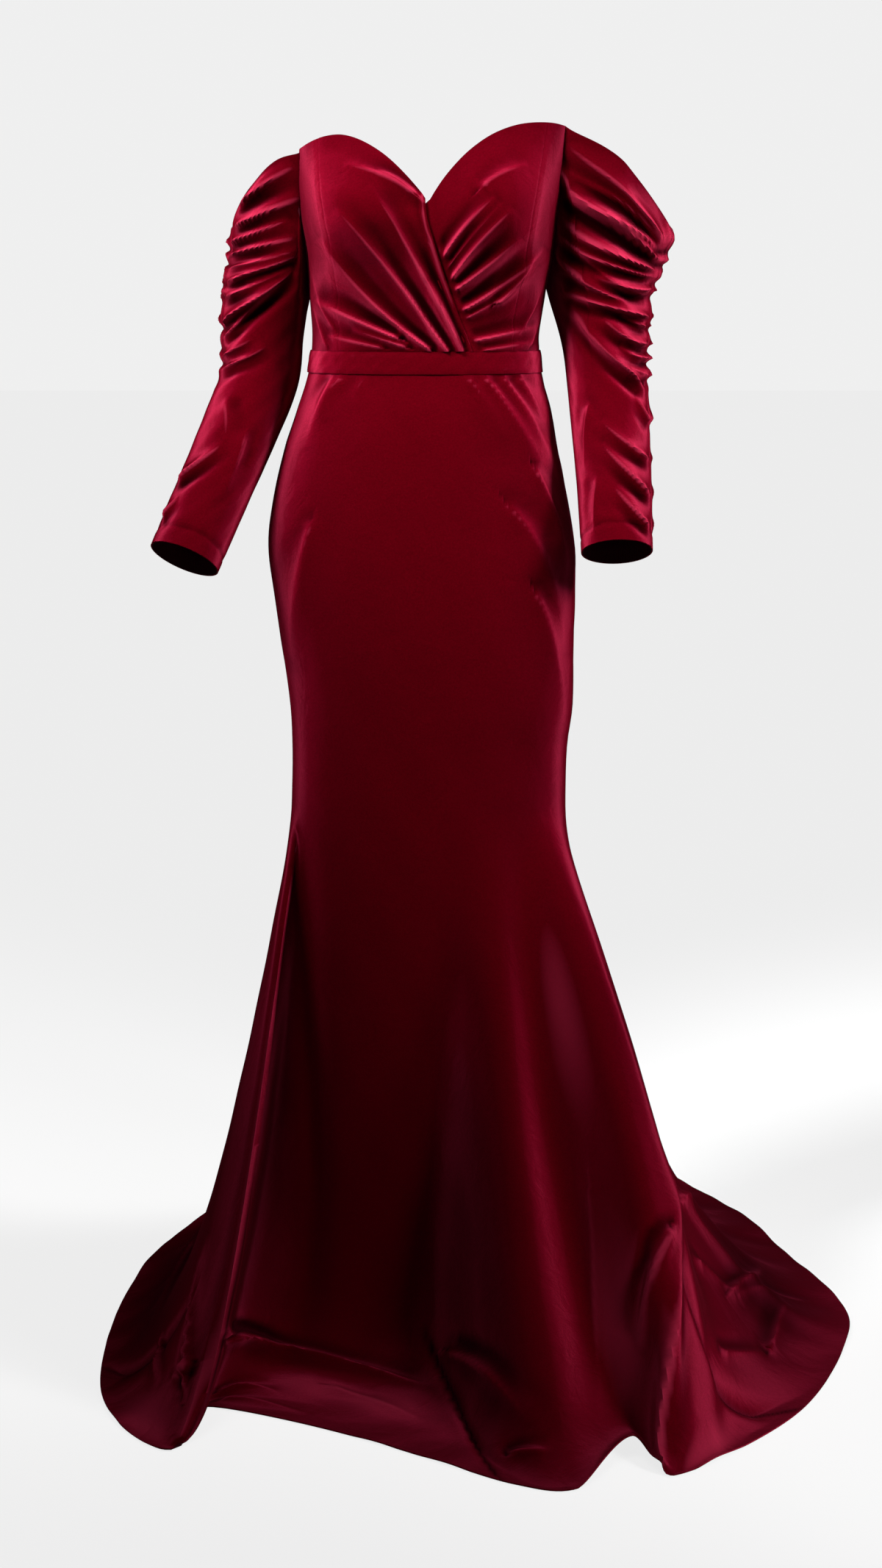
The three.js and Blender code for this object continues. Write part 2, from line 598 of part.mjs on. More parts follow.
// Each sleeve is a front and a back that meet at the underarm seam and at the gathered seam
// outside the arm.
function addSleeves() {
  const { front, back, down } = GRID.sleeve;
  const unroll = (turn) => rad(turn) * ARM_ROUND;
  const gathers = GATHERS.map((row) => ({ ...row, x0: unroll(row.x0), x1: unroll(row.x1) }));
  const frontTurns = [
    ...steps(0, FRONT_TURN, GRID.side.armhole),
    ...steps(FRONT_TURN, OUTER_SEAM, front).slice(1),
  ];
  const backTurns = [
    ...steps(OUTER_SEAM, BACK_TURN, back),
    ...steps(BACK_TURN, 360, GRID.back.armhole).slice(1),
  ];
  for (const side of ["left", "right"]) {
    const sign = side === "left" ? 1 : -1;
    const surface = sleeveSurface(side);
    const turned = (u, up) => surface(sign * u, up);
    const relief = (u, up, p) => {
      const turn = sign * u;
      const mirrored = turn <= OUTER_SEAM ? turn : OUTER_SEAM + (OUTER_SEAM - turn) * 0.8;
      const place = { x: rad(mirrored) * ARM_ROUND, z: p.z };
      return ease(up / 0.08) * ease((1 - up) / 0.03) * folds(place, gathers);
    };
    const piece = (name, turns) =>
      cloth({
        name,
        across: sign > 0 ? turns : turns.map((turn) => -turn).reverse(),
        up: steps(0, 1, down),
        surface: turned,
        relief,
        step: 1e-2,
      });
    gown.add(piece(`sleeve_front_${side}`, frontTurns), piece(`sleeve_back_${side}`, backTurns));
  }
}

addFronts();
addSidesAndBacks();
addWaistband();
addSkirt();
addSleeves();

export default gown;
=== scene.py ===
"""Velvet mermaid gown: every sewn panel as a sheet of cloth on the frame's solids, its velvet and a stage."""

import math
from collections import namedtuple

import bpy
import numpy as np
from bpy.props import FloatProperty, FloatVectorProperty, IntProperty, PointerProperty
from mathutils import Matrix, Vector


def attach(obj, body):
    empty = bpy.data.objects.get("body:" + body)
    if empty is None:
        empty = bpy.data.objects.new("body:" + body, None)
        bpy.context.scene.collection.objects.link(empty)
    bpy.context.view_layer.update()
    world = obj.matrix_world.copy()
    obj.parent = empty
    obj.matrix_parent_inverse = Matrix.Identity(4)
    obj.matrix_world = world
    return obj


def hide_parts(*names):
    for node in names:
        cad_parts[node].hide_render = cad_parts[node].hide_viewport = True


bl_info = {
    "name": "Velvet mermaid gown",
    "version": (1, 0, 0),
    "blender": (4, 5, 0),
    "location": "3D View > Sidebar > Gown",
    "description": "Cuts, folds and finishes the panels of an off-shoulder velvet gown",
    "category": "Object",
}

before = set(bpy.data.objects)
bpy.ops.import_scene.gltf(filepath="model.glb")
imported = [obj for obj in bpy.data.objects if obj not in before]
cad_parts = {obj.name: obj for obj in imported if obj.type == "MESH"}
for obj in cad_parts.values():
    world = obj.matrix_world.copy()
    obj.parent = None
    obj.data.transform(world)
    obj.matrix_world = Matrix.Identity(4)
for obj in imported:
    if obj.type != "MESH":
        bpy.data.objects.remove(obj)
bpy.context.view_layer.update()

# Sizes of the worn gown in millimetres, as in the solids, counted from the middle of the waist
WAIST_HEIGHT = 1140
FLOOR = -WAIST_HEIGHT
KNEE = -500
WALL = 2
BAND_HALF = 12.5
BAND_PROUD = 2.2
BAND_WALL = 3
SEAM = BAND_HALF + 0.3
V_HEIGHT = 173
BACK_TOP = 158
BACK_DIP = 8
UNDERARM = 90
WRAP_UNDER = 12
ARM_ROUND = 50

# Millimetres in the metre that Blender uses
MM = 1000

# Seams and corners by their degrees round the body from centre front
PRINCESS = 47
CORNER = 68
SIDE = 95
BACK_CORNER = 128
SKIRT_SIDE = 85

# Ends of a sleeve's free top edge and its outer seam, by their degrees round the arm from the underarm
FRONT_TURN = 65
BACK_TURN = 290
OUTER_SEAM = 165

# A sleeve's cap: its drop below the bodice's top edge, its ease over the bodice, its share of the sleeve and
# the degrees in which the free top edge eases out of the armhole
LOOP_DROP = 3
LAP_EASE = -0.5
CAP_SHARE = 0.42
CAP_EASED = 45

# How far each skirt back leans over the seam that they share, and how near the seam in drape lines
BACK_LAP = 0.9
LAP_LINES = 0.03

# How much finer the skirt's mesh is, by place along the drape lines and by share of the way up from the hem,
# and the share at which the places along the lines are spaced
FINER_LINES = ((5, 1), (6, 1.6), (10, 2), (15, 2), (17, 3), (20, 3), (21, 1.8), (23, 1))
FINER_ROWS = ((0, 2.6), (0.22, 2.6), (0.36, 1.2), (0.55, 0.8), (0.7, 1.3), (1, 1.6))
HEM_VIEW = 0.08

# The vertex attribute of painted highlights on crests and painted shade in hollows, and how near and how far
# in millimetres it looks for crests
PAINTED_LIGHT_ATTRIBUTE = "painted_fold_light"
FOLD_LIGHT_REACH = (5, 22)

# How round the crest of a crease is, from 1 for a sharp edge to 2 for a soft swelling, and how wide its two
# sides are against its half width
CREST = 1.35
STEEP = 0.6
GENTLE = 1.45

# The waist end of the drag lines, and the y that parts the hips' from the seat's
HIP_TOP = -14
SIDE_Y = 10

# The height over the floor up to which the hem ripples as it lies there
LYING = 90

# A panel's least threads each way, the threads of the plain grid that measures it, the angle in degrees past
# which its faces meet in an edge, and the least share of its rectangle that a cut panel fills
LEAST_THREADS = 12
PLAIN = 41
EDGE_ANGLE = 50
LEAST_FILL = 0.34

# The soft light from the front and above, and the even light from everywhere
SUN_POWER = 0.56
SUN_SOFTNESS = 28
SUN_FROM = (-0.35, -1.0, 2.2)
FILL_LIGHT = 0.07

# Lamps with their place and target in metres, size, power in watts and spread of the beam in degrees
Lamp = namedtuple("Lamp", "name place target size power spread")
LAMPS = [
    Lamp("bodice_key", (-1.2, -1.3, 1.5), (-0.11, -0.1, 0.17), (0.7, 0.7), 10.5, 26),
    Lamp("hem_light", (1.7, -2.2, -0.3), (0.36, -0.2, -1.05), (0.5, 0.5), 2.2, 24),
    Lamp("sleeve_key", (1.9, -0.8, 1.0), (0.24, 0, 0.1), (0.6, 0.8), 12, 45),
]

# The camera's place in metres, its tilt down in degrees, its sensor, and its lens as a share of the sensor
CAMERA_PLACE = (0.014, -3.6, 0.10)
CAMERA_TILT = 9.21
SENSOR = 36
LENS_SHARE = 4300 / 2133

# The floor's size and its drop below the hem in metres, how strongly it glows to the camera, and the glow's
# share of what the camera sees of it
FLOOR_SIZE = 60
FLOOR_DROP = 0.001
FLOOR_GLOW = 1.06
FLOOR_SHARE = 0.78

# The cups' swell, and the neckline on each side of the V: its rise, where it peaks, its bow and its last drop
CUP = {"x": 86, "z": 162, "spread": 62, "depth": 35}
NECK = {
    "right": {"rise": 74, "peak": 0.69, "power": 1.75, "drop": 14},
    "left": {"rise": 88, "peak": 0.85, "power": 2.5, "drop": 3},
}


def table(kind, rows):
    """Rows of numbers with the names of their columns."""
    return [kind(*row) for row in rows]


# The figure by height: its middle, half width, depth to the front and to the back, and how square it is
Section = namedtuple("Section", "z mid half front back square")
BODY = table(Section, (
    (-500, 0, 156, 90, 98, 2.2),
    (-440, 1, 156, 91, 100, 2.2),
    (-390, 3, 160, 94, 106, 2.2),
    (-305, -2, 167, 99, 119, 2.2),
    (-222, -7, 173, 101, 131, 2.2),
    (-180, -9, 170, 100, 129, 2.2),
    (-96, -8, 153, 97, 108, 2.2),
    (-54, -5, 142, 93, 93, 2.2),
    (-10, -4, 129, 86, 78, 2.2),
    (30, -3, 126, 84, 76, 2.2),
    (77, -1, 130, 89, 82, 2.3),
    (118, 1, 136, 93, 87, 2.4),
    (160, 0, 143, 95, 92, 2.6),
    (200, 1, 148, 93, 96, 2.8),
    (265, 5, 154, 84, 98, 3.0),
))

# The edge of the over front, from the waistband to the V
WrapPoint = namedtuple("WrapPoint", "z x")
WRAP_EDGE = table(WrapPoint, (
    (13, 48),
    (48, 35),
    (87, 21),
    (121, 10),
    (157, -1),
    (175, -3),
))

# Lines down the flare: angle at the knee, place of the hem, and how each falls, leans and reaches the floor
Drape = namedtuple("Drape", "knee x y fall lean reach side lift")
DRAPE = table(Drape, (
    (-180, 40, 850, 0.3, 0, 0.42, 0, 0),
    (-164, -80, 785, 0.34, 0, 0.36, 0, 0),
    (-148, -180, 670, 0.3, 0, 0.44, 0, 0),
    (-134, -268, 525, 0.36, 0, 0.36, 0, 0),
    (-120, -338, 345, 0.34, 0, 0.44, 0, 0),
    (-108, -374, 110, 0.38, 0, 0.44, 0, 0),
    (-97, -373, -165, 0.34, 0.14, 0.47, 0, 0),
    (-89, -338, -308, 0.36, 0.27, 0.56, 0, 0),
    (-81, -284, -388, 0.3, 0.28, 0.72, 10, 0),
    (-74, -258, -358, 0.3, 0.26, 0.82, 36, 3),
    (-66, -252, -270, 0.5, 0.1, 0.5, -16, 2),
    (-55, -222, -266, 0.9, 0, 0.14, 0, 0),
    (-38, -146, -306, 0.97, 0.02, 0.08, 0, 0),
    (-18, -65, -361, 1.0, 0, 0.06, 0, 0),
    (0, 14, -425, 0.92, 0.02, 0.14, 0, 0),
    (14, 90, -486, 0.56, 0.1, 0.5, 0, 0),
    (25, 152, -500, 0.42, 0.1, 0.66, 0, 0),
    (38, 214, -412, 0.44, 0.12, 0.7, 10, 24),
    (52, 250, -464, 0.3, 0.2, 0.88, 78, 0),
    (66, 327, -393, 0.36, 0.46, 0.56, 66, 0),
    (79, 416, -261, 0.34, 0.22, 0.5, 0, 0),
    (92, 480, -80, 0.36, 0, 0.46, 0, 0),
    (106, 503, 70, 0.36, 0, 0.42, 0, 0),
    (120, 462, 262, 0.32, 0, 0.46, 0, 0),
    (134, 402, 488, 0.36, 0, 0.36, 0, 0),
    (148, 318, 652, 0.3, 0, 0.44, 0, 0),
    (164, 190, 795, 0.34, 0, 0.36, 0, 0),
    (180, 40, 850, 0.3, 0, 0.42, 0, 0),
))

# Rings down each sleeve: centre, half width and half depth
Ring = namedtuple("Ring", "x y z wide deep")
ARM = {
    "left": table(Ring, (
        (199, 8, 262, 60, 55),
        (199, 8, 190, 61, 56),
        (199, 8, 110, 56, 54),
        (199, 8, 70, 51, 52),
        (200, 7, 26, 47, 49),
        (202, 0, -20, 44, 46),
        (205, -21, -75, 42, 42),
        (208, -50, -135, 40, 40),
        (210, -84, -208, 38, 38),
    )),
    "right": table(Ring, (
        (-170, 14, 262, 49, 54),
        (-170, 14, 190, 50, 55),
        (-171, 14, 120, 51, 54),
        (-180, 14, 75, 51, 52),
        (-187, 12, 26, 45, 49),
        (-192, 4, -20, 42.5, 46),
        (-214, -18, -78, 41, 43),
        (-241, -47, -142, 39.5, 40),
        (-272, -82, -216, 38.5, 39),
    )),
}

# The top edge of each sleeve: degrees round the arm, how far it stands out, and height
EdgePoint = namedtuple("EdgePoint", "turn out z")
TOP_EDGE = {
    "left": table(EdgePoint, (
        (65, 0, 258),
        (90, 0, 238),
        (120, 0, 205),
        (150, 6, 172),
        (168, 14, 148),
        (200, 6, 144),
        (245, 0, 150),
        (290, 0, 156),
    )),
    "right": table(EdgePoint, (
        (65, 0, 229),
        (90, 0, 221),
        (120, 0, 194),
        (150, 0, 165),
        (168, 0, 148),
        (200, 0, 144),
        (245, 0, 150),
        (290, 0, 156),
    )),
}

# A crease runs from (x0, z0) past (xm, zm) to (x1, z1). near and far are its half widths at the two ends,
# height its rise, and under the depth of the trough beside it, on its right for a positive number.
Crease = namedtuple("Crease", "x0 z0 xm zm x1 z1 near far height under")

OVER_PLEATS = table(Crease, (
    (35.7, 14, 4, 94, -66, 193, 3.3, 6.9, 8, 3.1),
    (21, 14, -47, 115, -100, 169, 3.3, 7.5, 8.4, 3.1),
    (0, 16, -64, 61, -118, 139, 3.6, 8, 8, 3.1),
    (-34, 28, -78, 49, -125, 70, 4.1, 8, 8.9, 3.8),
    (-26, 18, -55, 28, -84, 38, 3.6, 6.9, 5, 1.9),
    (-52, 17, -82, 24, -112, 30, 3.6, 5.8, 3.5, 1.2),
    (-18, 184, -52, 206, -92, 214, 4.1, 8, 3.8, 1.2),
    (-8, 178, -30, 200, -57, 208, 3.3, 5.8, 3.1, 0.7),
))
UNDER_PLEATS = table(Crease, (
    (12, 110, 38, 150, 74, 181, 3.3, 6.9, 7, -2.6),
    (17, 98, 44, 138, 84, 176, 3, 5.8, 3.5, -1.2),
    (21, 87, 50, 132, 92, 168, 3.3, 7.5, 7.7, -2.6),
    (27, 80, 60, 104, 100, 138, 3.6, 7.5, 7, -2.6),
    (33, 57, 78, 82, 128, 127, 3.6, 8, 7.3, -3.1),
    (37, 48, 70, 66, 96, 84, 3.3, 5.8, 3.5, -1.2),
    (74, 68, 95, 88, 112, 112, 3.6, 6.9, 4.6, -1.6),
    (44, 24, 78, 30, 118, 40, 4.1, 6.9, 5.4, -1.9),
    (60, 14, 88, 18, 120, 24, 3.6, 5.8, 3.1, -1),
    (60, 190, 78, 206, 108, 214, 5.5, 9.2, 3.5, -1),
))
SIDE_CREASES = table(Crease, (
    (112, 20, 124, 48, 132, 92, 3, 7, 1.8, 0.5),
    (104, 40, 122, 66, 134, 120, 3, 7, 1.6, 0.4),
))
HIP_DRAGS = table(Crease, (
    (60, -14, 96, -58, 140, -150, 5, 16.2, 5.4, -2.2),
    (80, -14, 116, -60, 148, -130, 4, 13.5, 4.8, -1.9),
    (98, -14, 118, -40, 132, -72, 3, 10.8, 3.8, -1.3),
    (42, -14, 62, -40, 88, -84, 4, 12.2, 2.9, -1),
    (92, -162, 138, -214, 156, -328, 9, 16.2, 4.6, -1.4),
    (116, -120, 146, -170, 160, -240, 5, 13.5, 4.8, -1.9),
    (118, -256, 146, -320, 156, -420, 6, 18.9, 4.2, -1.6),
    (-92, -14, -112, -30, -122, -60, 3, 10.8, 3.5, 1),
    (-104, -14, -124, -50, -134, -96, 3, 10.8, 2.9, 1),
    (-70, -14, -78, -24, -82, -46, 3, 9.5, 1.9, 0.5),
    (-130, -180, -152, -250, -156, -340, 6, 18.9, 3.8, 1.3),
))
SEAT_DRAGS = table(Crease, (
    (-70, -14, -100, -60, -120, -140, 4, 12, 3.6, 1.2),
    (72, -14, 98, -58, 122, -150, 4, 12, 3.9, -1.2),
    (-40, -14, -52, -44, -66, -92, 3, 9, 2.4, 0.8),
    (38, -14, 48, -50, 60, -100, 3, 9, 2.4, -0.8),
    (-20, -230, -80, -262, -140, -260, 8, 12, 3.6, 1.2),
    (18, -244, 76, -272, 142, -258, 8, 12, 3.6, 1.2),
    (-24, -280, -70, -318, -128, -330, 8, 14, 3, 0.9),
    (22, -296, 74, -330, 136, -322, 8, 14, 3, 0.9),
))
BACK_CREASES = table(Crease, (
    (-30, 16, -62, 40, -104, 52, 3, 7, 2.7, 0.9),
    (34, 16, 66, 38, 106, 54, 3, 7, 2.7, 0.9),
    (-22, 60, -60, 84, -98, 86, 4, 8, 2.1, 0.6),
    (26, 66, 64, 86, 100, 84, 4, 8, 2.1, 0.6),
))

# Gathers across a sleeve's front, in degrees round the arm and millimetres of height
GATHERS = {
    "left": table(Crease, (
        (158, 128, 112, 176, 66, 240, 4.2, 8, 11.2, -4.9),
        (162, 118, 116, 168, 60, 214, 3.64, 7, 6.8, -2.7),
        (154, 122, 98, 152, 62, 190, 3.64, 7, 11.2, -5.5),
        (150, 116, 92, 142, 36, 234, 3.64, 8, 8.1, -3.2),
        (164, 110, 118, 124, 58, 186, 3.64, 6, 9.9, -4.9),
        (162, 102, 108, 100, 52, 154, 3.64, 6, 11.8, -5.5),
        (163, 95, 96, 92, 38, 144, 3.64, 6, 10.4, -4.9),
        (158, 76, 102, 66, 62, 128, 3.92, 6, 5.9, -2.7),
        (162, 84, 120, 74, 76, 95, 3.92, 6, 9, -4.4),
        (120, 66, 70, 74, 26, 126, 4.2, 7, 8.1, -3.8),
        (160, 48, 110, 54, 28, 80, 3.92, 6, 11.2, -5.5),
        (158, 38, 128, 40, 106, 54, 3.64, 5, 7.6, -3.2),
        (160, 21, 118, 12, 84, 50, 3.92, 6, 9.5, -4.4),
        (156, -34, 96, -12, 40, 66, 4.76, 7, 10.4, -4.9),
        (164, 4, 134, 0, 104, 18, 3.64, 5, 6.8, -2.7),
        (162, -16, 142, -18, 118, -6, 3.64, 5, 5.4, -2.2),
        (163, -70, 146, -62, 128, -38, 4.2, 6, 5.4, -2.2),
        (160, -112, 112, -100, 72, -64, 4.2, 7, 6.8, -2.7),
        (160, -152, 112, -132, 70, -88, 4.2, 7, 7.6, -3.2),
        (158, -186, 118, -170, 86, -136, 4.2, 6, 6.2, -2.7),
        (60, -40, 44, -70, 36, -120, 5.6, 8, 3.6, 1.4),
        (62, -120, 52, -150, 48, -190, 5.6, 7, 3.1, 1.4),
    )),
    "right": table(Crease, (
        (150, 166, 104, 192, 70, 216, 4.2, 8, 8.1, -3.2),
        (156, 146, 110, 158, 62, 182, 4.2, 8, 9, -3.8),
        (162, 128, 120, 138, 74, 158, 3.92, 7, 9.5, -4.4),
        (165, 114, 120, 124, 66, 138, 3.92, 7, 10.4, -4.9),
        (163, 100, 118, 106, 60, 126, 3.92, 6, 7.2, -3.2),
        (160, 84, 104, 98, 60, 120, 3.92, 7, 10.4, -4.9),
        (164, 66, 114, 78, 66, 106, 3.92, 6, 6.8, -3.2),
        (164, 38, 106, 56, 64, 104, 3.92, 7, 10.8, -4.9),
        (156, 22, 112, 44, 78, 90, 3.92, 6, 8.1, -3.8),
        (160, 4, 128, 10, 100, 26, 3.92, 6, 6.2, -2.7),
        (156, -14, 110, 0, 80, 18, 4.2, 6, 6.8, -2.7),
        (158, -134, 120, -122, 92, -88, 4.2, 7, 7.6, -3.2),
        (154, -172, 142, -164, 130, -148, 4.2, 6, 5.4, -2.2),
        (70, -70, 62, -100, 60, -150, 5.6, 8, 4, 1.7),
        (120, -40, 100, -62, 90, -92, 5.6, 8, 4, 1.7),
    )),
}

# Creases of the flare, by place along the drape lines and down from 1 at the knee to 2 at the hem
FLARE_CREASES = table(Crease, (
    (10.0, 1.815, 11.9, 1.735, 14.0, 1.806, 7, 9, 14, 4),
    (9.25, 1.97, 9.3, 1.5, 8.95, 1.1, 20, 13, -30, 0.1),
    (8.3, 1.95, 8.85, 1.60, 8.45, 1.15, 7, 6, 10, -1),
    (8.85, 1.79, 9.6, 1.80, 10.3, 1.822, 4, 6, 7, -2),
    (10.4, 1.93, 10.9, 1.90, 11.5, 1.918, 5, 8, 6, 2),
    (10.7, 1.972, 11.2, 1.955, 12.2, 1.968, 5, 9, 5, 2),
    (12.3, 1.86, 13.0, 1.88, 13.8, 1.90, 8, 12, 4, 1),
    (14.35, 1.74, 14.9, 1.775, 15.6, 1.86, 9, 14, 9, 3),
    (15.1, 1.92, 15.4, 1.90, 15.8, 1.905, 5, 8, 5, 2),
    (14.75, 1.99, 14.2, 1.82, 13.85, 1.66, 13, 8, -9, 0.1),
    (17.82, 2.0, 17.5, 1.78, 19.1, 1.56, 12, 13, 15, -0.5),
    (19.95, 2.0, 18.7, 1.84, 18.42, 1.68, 14, 10, -10, 0.1),
    (18.3, 1.655, 17.86, 1.68, 17.55, 1.78, 7, 12, 9, -3),
    (17.35, 1.60, 17.2, 1.74, 16.6, 1.90, 12, 18, 3, -0.5),
    (20.2, 1.74, 20.45, 1.76, 20.75, 1.81, 8, 11, 6, 1),
    (20.68, 1.806, 21.4, 1.815, 22.6, 1.89, 9, 12, 9, 1.5),
    (20.5, 1.895, 20.85, 1.882, 21.6, 1.893, 8, 10, 8, 1.5),
    (19.5, 1.83, 20.0, 1.865, 20.4, 1.894, 6, 9, 5, 2),
    (20.8, 1.82, 21.9, 1.86, 22.2, 1.975, 8, 10, 3, 1),
    (21.1, 1.69, 21.8, 1.70, 22.8, 1.74, 8, 12, 8, 2),
    (7.85, 1.86, 7.35, 1.76, 7.25, 1.68, 7, 8, 9, 3),
    (5.9, 1.99, 6.7, 1.82, 7.35, 1.74, 13, 9, -8, 0.1),
    (6.6, 1.85, 6.7, 1.87, 7.2, 1.88, 5, 8, 6, 2),
    (7.9, 1.83, 7.75, 1.85, 7.4, 1.86, 4, 6, 6, 2),
    (4.9, 1.80, 5.2, 1.84, 5.9, 1.86, 8, 12, 8, 2),
    (4.2, 1.72, 4.6, 1.78, 5.4, 1.78, 9, 13, 8, 2),
    (3.2, 1.84, 3.7, 1.80, 4.3, 1.82, 9, 14, 9, 3),
    (1.9, 1.70, 2.4, 1.76, 3.1, 1.75, 10, 15, 9, 3),
    (0.8, 1.82, 1.3, 1.86, 2.1, 1.84, 10, 16, 9, 3),
    (22.9, 1.82, 23.5, 1.86, 24.2, 1.84, 9, 14, 9, 3),
    (24.0, 1.72, 24.6, 1.78, 25.3, 1.76, 10, 15, 9, 3),
    (25.3, 1.88, 25.8, 1.84, 26.5, 1.85, 10, 16, 8, 3),
))

# Soft folds down the flare: its place along the drape lines, half width in lines, rise, and where it starts
Flute = namedtuple("Flute", "line width height start")
FLUTES = table(Flute, (
    (1.0, 0.32, 12, 1.25),
    (2.1, 0.30, 9, 1.2),
    (3.2, 0.28, 10, 1.2),
    (4.4, 0.26, 8, 1.25),
    (15.6, 0.30, 2, 1.4),
    (18.7, 0.24, 6, 1.15),
    (21.4, 0.28, 8, 1.3),
    (22.6, 0.26, 7, 1.25),
    (23.7, 0.28, 10, 1.2),
    (24.9, 0.30, 9, 1.2),
    (26.1, 0.32, 12, 1.25),
))

# Painted shade and painted light in patches of the flare, such as the train in the gown's shadow: a place,
# half sizes there, and -1 for dark to 1 for light
PaintedLightPatch = namedtuple("PaintedLightPatch", "line down lines downs lean")
PAINTED_LIGHT_PATCHES = table(PaintedLightPatch, (
    (9.9, 1.52, 1.0, 0.34, -0.9),
    (9.2, 1.30, 0.8, 0.16, -0.6),
    (12.6, 1.50, 2.4, 0.28, -0.35),
    (5.3, 1.86, 1.3, 0.10, -0.65),
    (3.5, 1.80, 1.5, 0.14, -0.4),
    (21.4, 1.86, 1.7, 0.11, -0.8),
    (23.3, 1.80, 1.5, 0.14, -0.4),
    (18.5, 1.94, 0.7, 0.06, 0.8),
    (17.5, 1.79, 0.45, 0.15, 0.7),
    (14.8, 1.86, 0.9, 0.11, -0.35),
    (12.3, 1.87, 1.6, 0.05, 0.75),
    (14.8, 1.54, 0.9, 0.26, -0.45),
    (19.4, 1.42, 0.7, 0.16, -0.5),
    (18.9, 1.23, 0.4, 0.12, 0.5),
    (17.5, 1.40, 0.35, 0.14, 0.5),
    (7.3, 1.95, 0.6, 0.06, 0.9),
    (7.6, 1.55, 0.5, 0.25, 0.5),
    (9.6, 0.45, 1.4, 0.45, -0.6),
    (13.6, 1.90, 0.8, 0.04, 0.45),
))


def color(name, description, default):
    """A colour that can be changed in the sidebar."""
    return FloatVectorProperty(
        name=name,
        description=description,
        default=default,
        subtype="COLOR",
        min=0.0,
        max=1.0,
    )


class GownSizes(bpy.types.PropertyGroup):
    """Sizes of the cloth that can be changed without moving the gown off its frame."""

    cloth: FloatProperty(
        name="Cloth thickness",
        description="Thickness of the velvet with its backing",
        default=0.0016,
        min=0.0005,
        max=0.003,
        unit="LENGTH",
    )
    crease: FloatProperty(
        name="Crease depth",
        description="How deep the gathers, pleats and drag lines are, as a share of the worn gown's",
        default=1.0,
        min=0.0,
        max=1.5,
        subtype="FACTOR",
    )
    spacing: FloatProperty(
        name="Mesh spacing",
        description="Distance between neighbouring threads of the panels' meshes",
        default=0.0018,
        min=0.0012,
        max=0.01,
        unit="LENGTH",
    )
    most: IntProperty(
        name="Most faces",
        description="Most faces in one panel before it gets its thickness",
        default=44000,
        min=2000,
        max=48000,
    )


class VelvetLook(bpy.types.PropertyGroup):
    """Colours and finish of the velvet, with the colours of its painted sheen, painted shade and painted
    crest highlights.
    """

    # Deep, pile, slope and lit are stops of a painted sheen by how far the cloth turns from the camera
    deep: color("Deep pile", "Colour of the pile down between its tips", (0.033, 0.0001, 0.0012))
    pile: color("Pile", "Colour of the pile that turns a little away", (0.040, 0.0002, 0.0019))
    slope: color("Slope", "Colour of the pile on the slope of a fold", (0.070, 0.0008, 0.0050))
    lit: color("Lit tips", "Colour of the pile seen nearly edge on", (0.150, 0.0060, 0.019))
    # The crest colour is a painted highlight along the crests of creases
    crest: color("Crest", "Colour of the pile brushed up along the crest of a crease", (0.30, 0.018, 0.048))
    sheen: color("Sheen", "Colour of the light caught by the tips of the pile", (1.0, 0.07, 0.17))
    backing: color("Backing", "Colour of the wrong side of the cloth", (0.03, 0.002, 0.005))
    sheen_weight: FloatProperty(
        name="Sheen weight",
        description="How much light the tips of the pile catch",
        default=0.15,
        min=0.0,
        max=1.0,
        subtype="FACTOR",
    )


class StageLook(bpy.types.PropertyGroup):
    """Floor, background and light of the stage."""

    floor: color("Floor", "Colour of the plain floor", (0.96, 0.96, 0.96))
    backdrop: color("Backdrop", "Colour seen behind the gown", (0.865, 0.865, 0.865))
    brightness: FloatProperty(
        name="Brightness",
        description="Strength of all the lamps against their usual strength",
        default=1.0,
        min=0.0,
        max=4.0,
    )


class Curve:
    """Smooth curves through the rows of a table, one for each of its columns."""

    def __init__(self, rows, key=None):
        self.names = rows[0]._fields
        self.values = np.array(rows, float)
        place = np.arange(len(rows), dtype=float)
        self.keys = place if key is None else self.values[:, self.names.index(key)]
        if self.keys[0] > self.keys[-1]:
            self.values = self.values[::-1]
            self.keys = self.keys[::-1]

    def __call__(self, column, at):
        at = np.asarray(at, float)
        keys = self.keys
        heights = self.values[:, self.names.index(column)]
        before = np.concatenate([[0], np.arange(len(keys) - 1)])
        after = np.concatenate([np.arange(1, len(keys)), [len(keys) - 1]])
        slopes = (heights[after] - heights[before]) / (keys[after] - keys[before])
        i = np.clip(np.searchsorted(keys, at, side="right") - 1, 0, len(keys) - 2)
        span = keys[i + 1] - keys[i]
        t = np.clip((at - keys[i]) / span, 0, 1)
        level = (1 + 2 * t) * (1 - t) ** 2 * heights[i] + t * t * (3 - 2 * t) * heights[i + 1]
        return level + span * (t * (1 - t) ** 2 * slopes[i] + t * t * (t - 1) * slopes[i + 1])


body_curve = Curve(BODY, "z")
wrap_curve = Curve(WRAP_EDGE, "z")
drape_curve = Curve(DRAPE)
arm_curve = {side: Curve(rows) for side, rows in ARM.items()}
edge_curve = {side: Curve(rows, "turn") for side, rows in TOP_EDGE.items()}


def mix(a, b, t):
    """The value a share t of the way from a to b."""
    return a + (b - a) * t


def ease(t):
    """A soft step from 0 to 1."""
    s = np.clip(t, 0, 1)
    return s * s * (3 - 2 * s)


def bell(x, width):
    """A soft bump of height 1 round 0, most of it within width on each side."""
    return np.exp(-((x / width) ** 2))


def stack(x, y, z):
    """One array of points from their three coordinates."""
    return np.stack(np.broadcast_arrays(np.asarray(x, float), y, z), axis=-1)


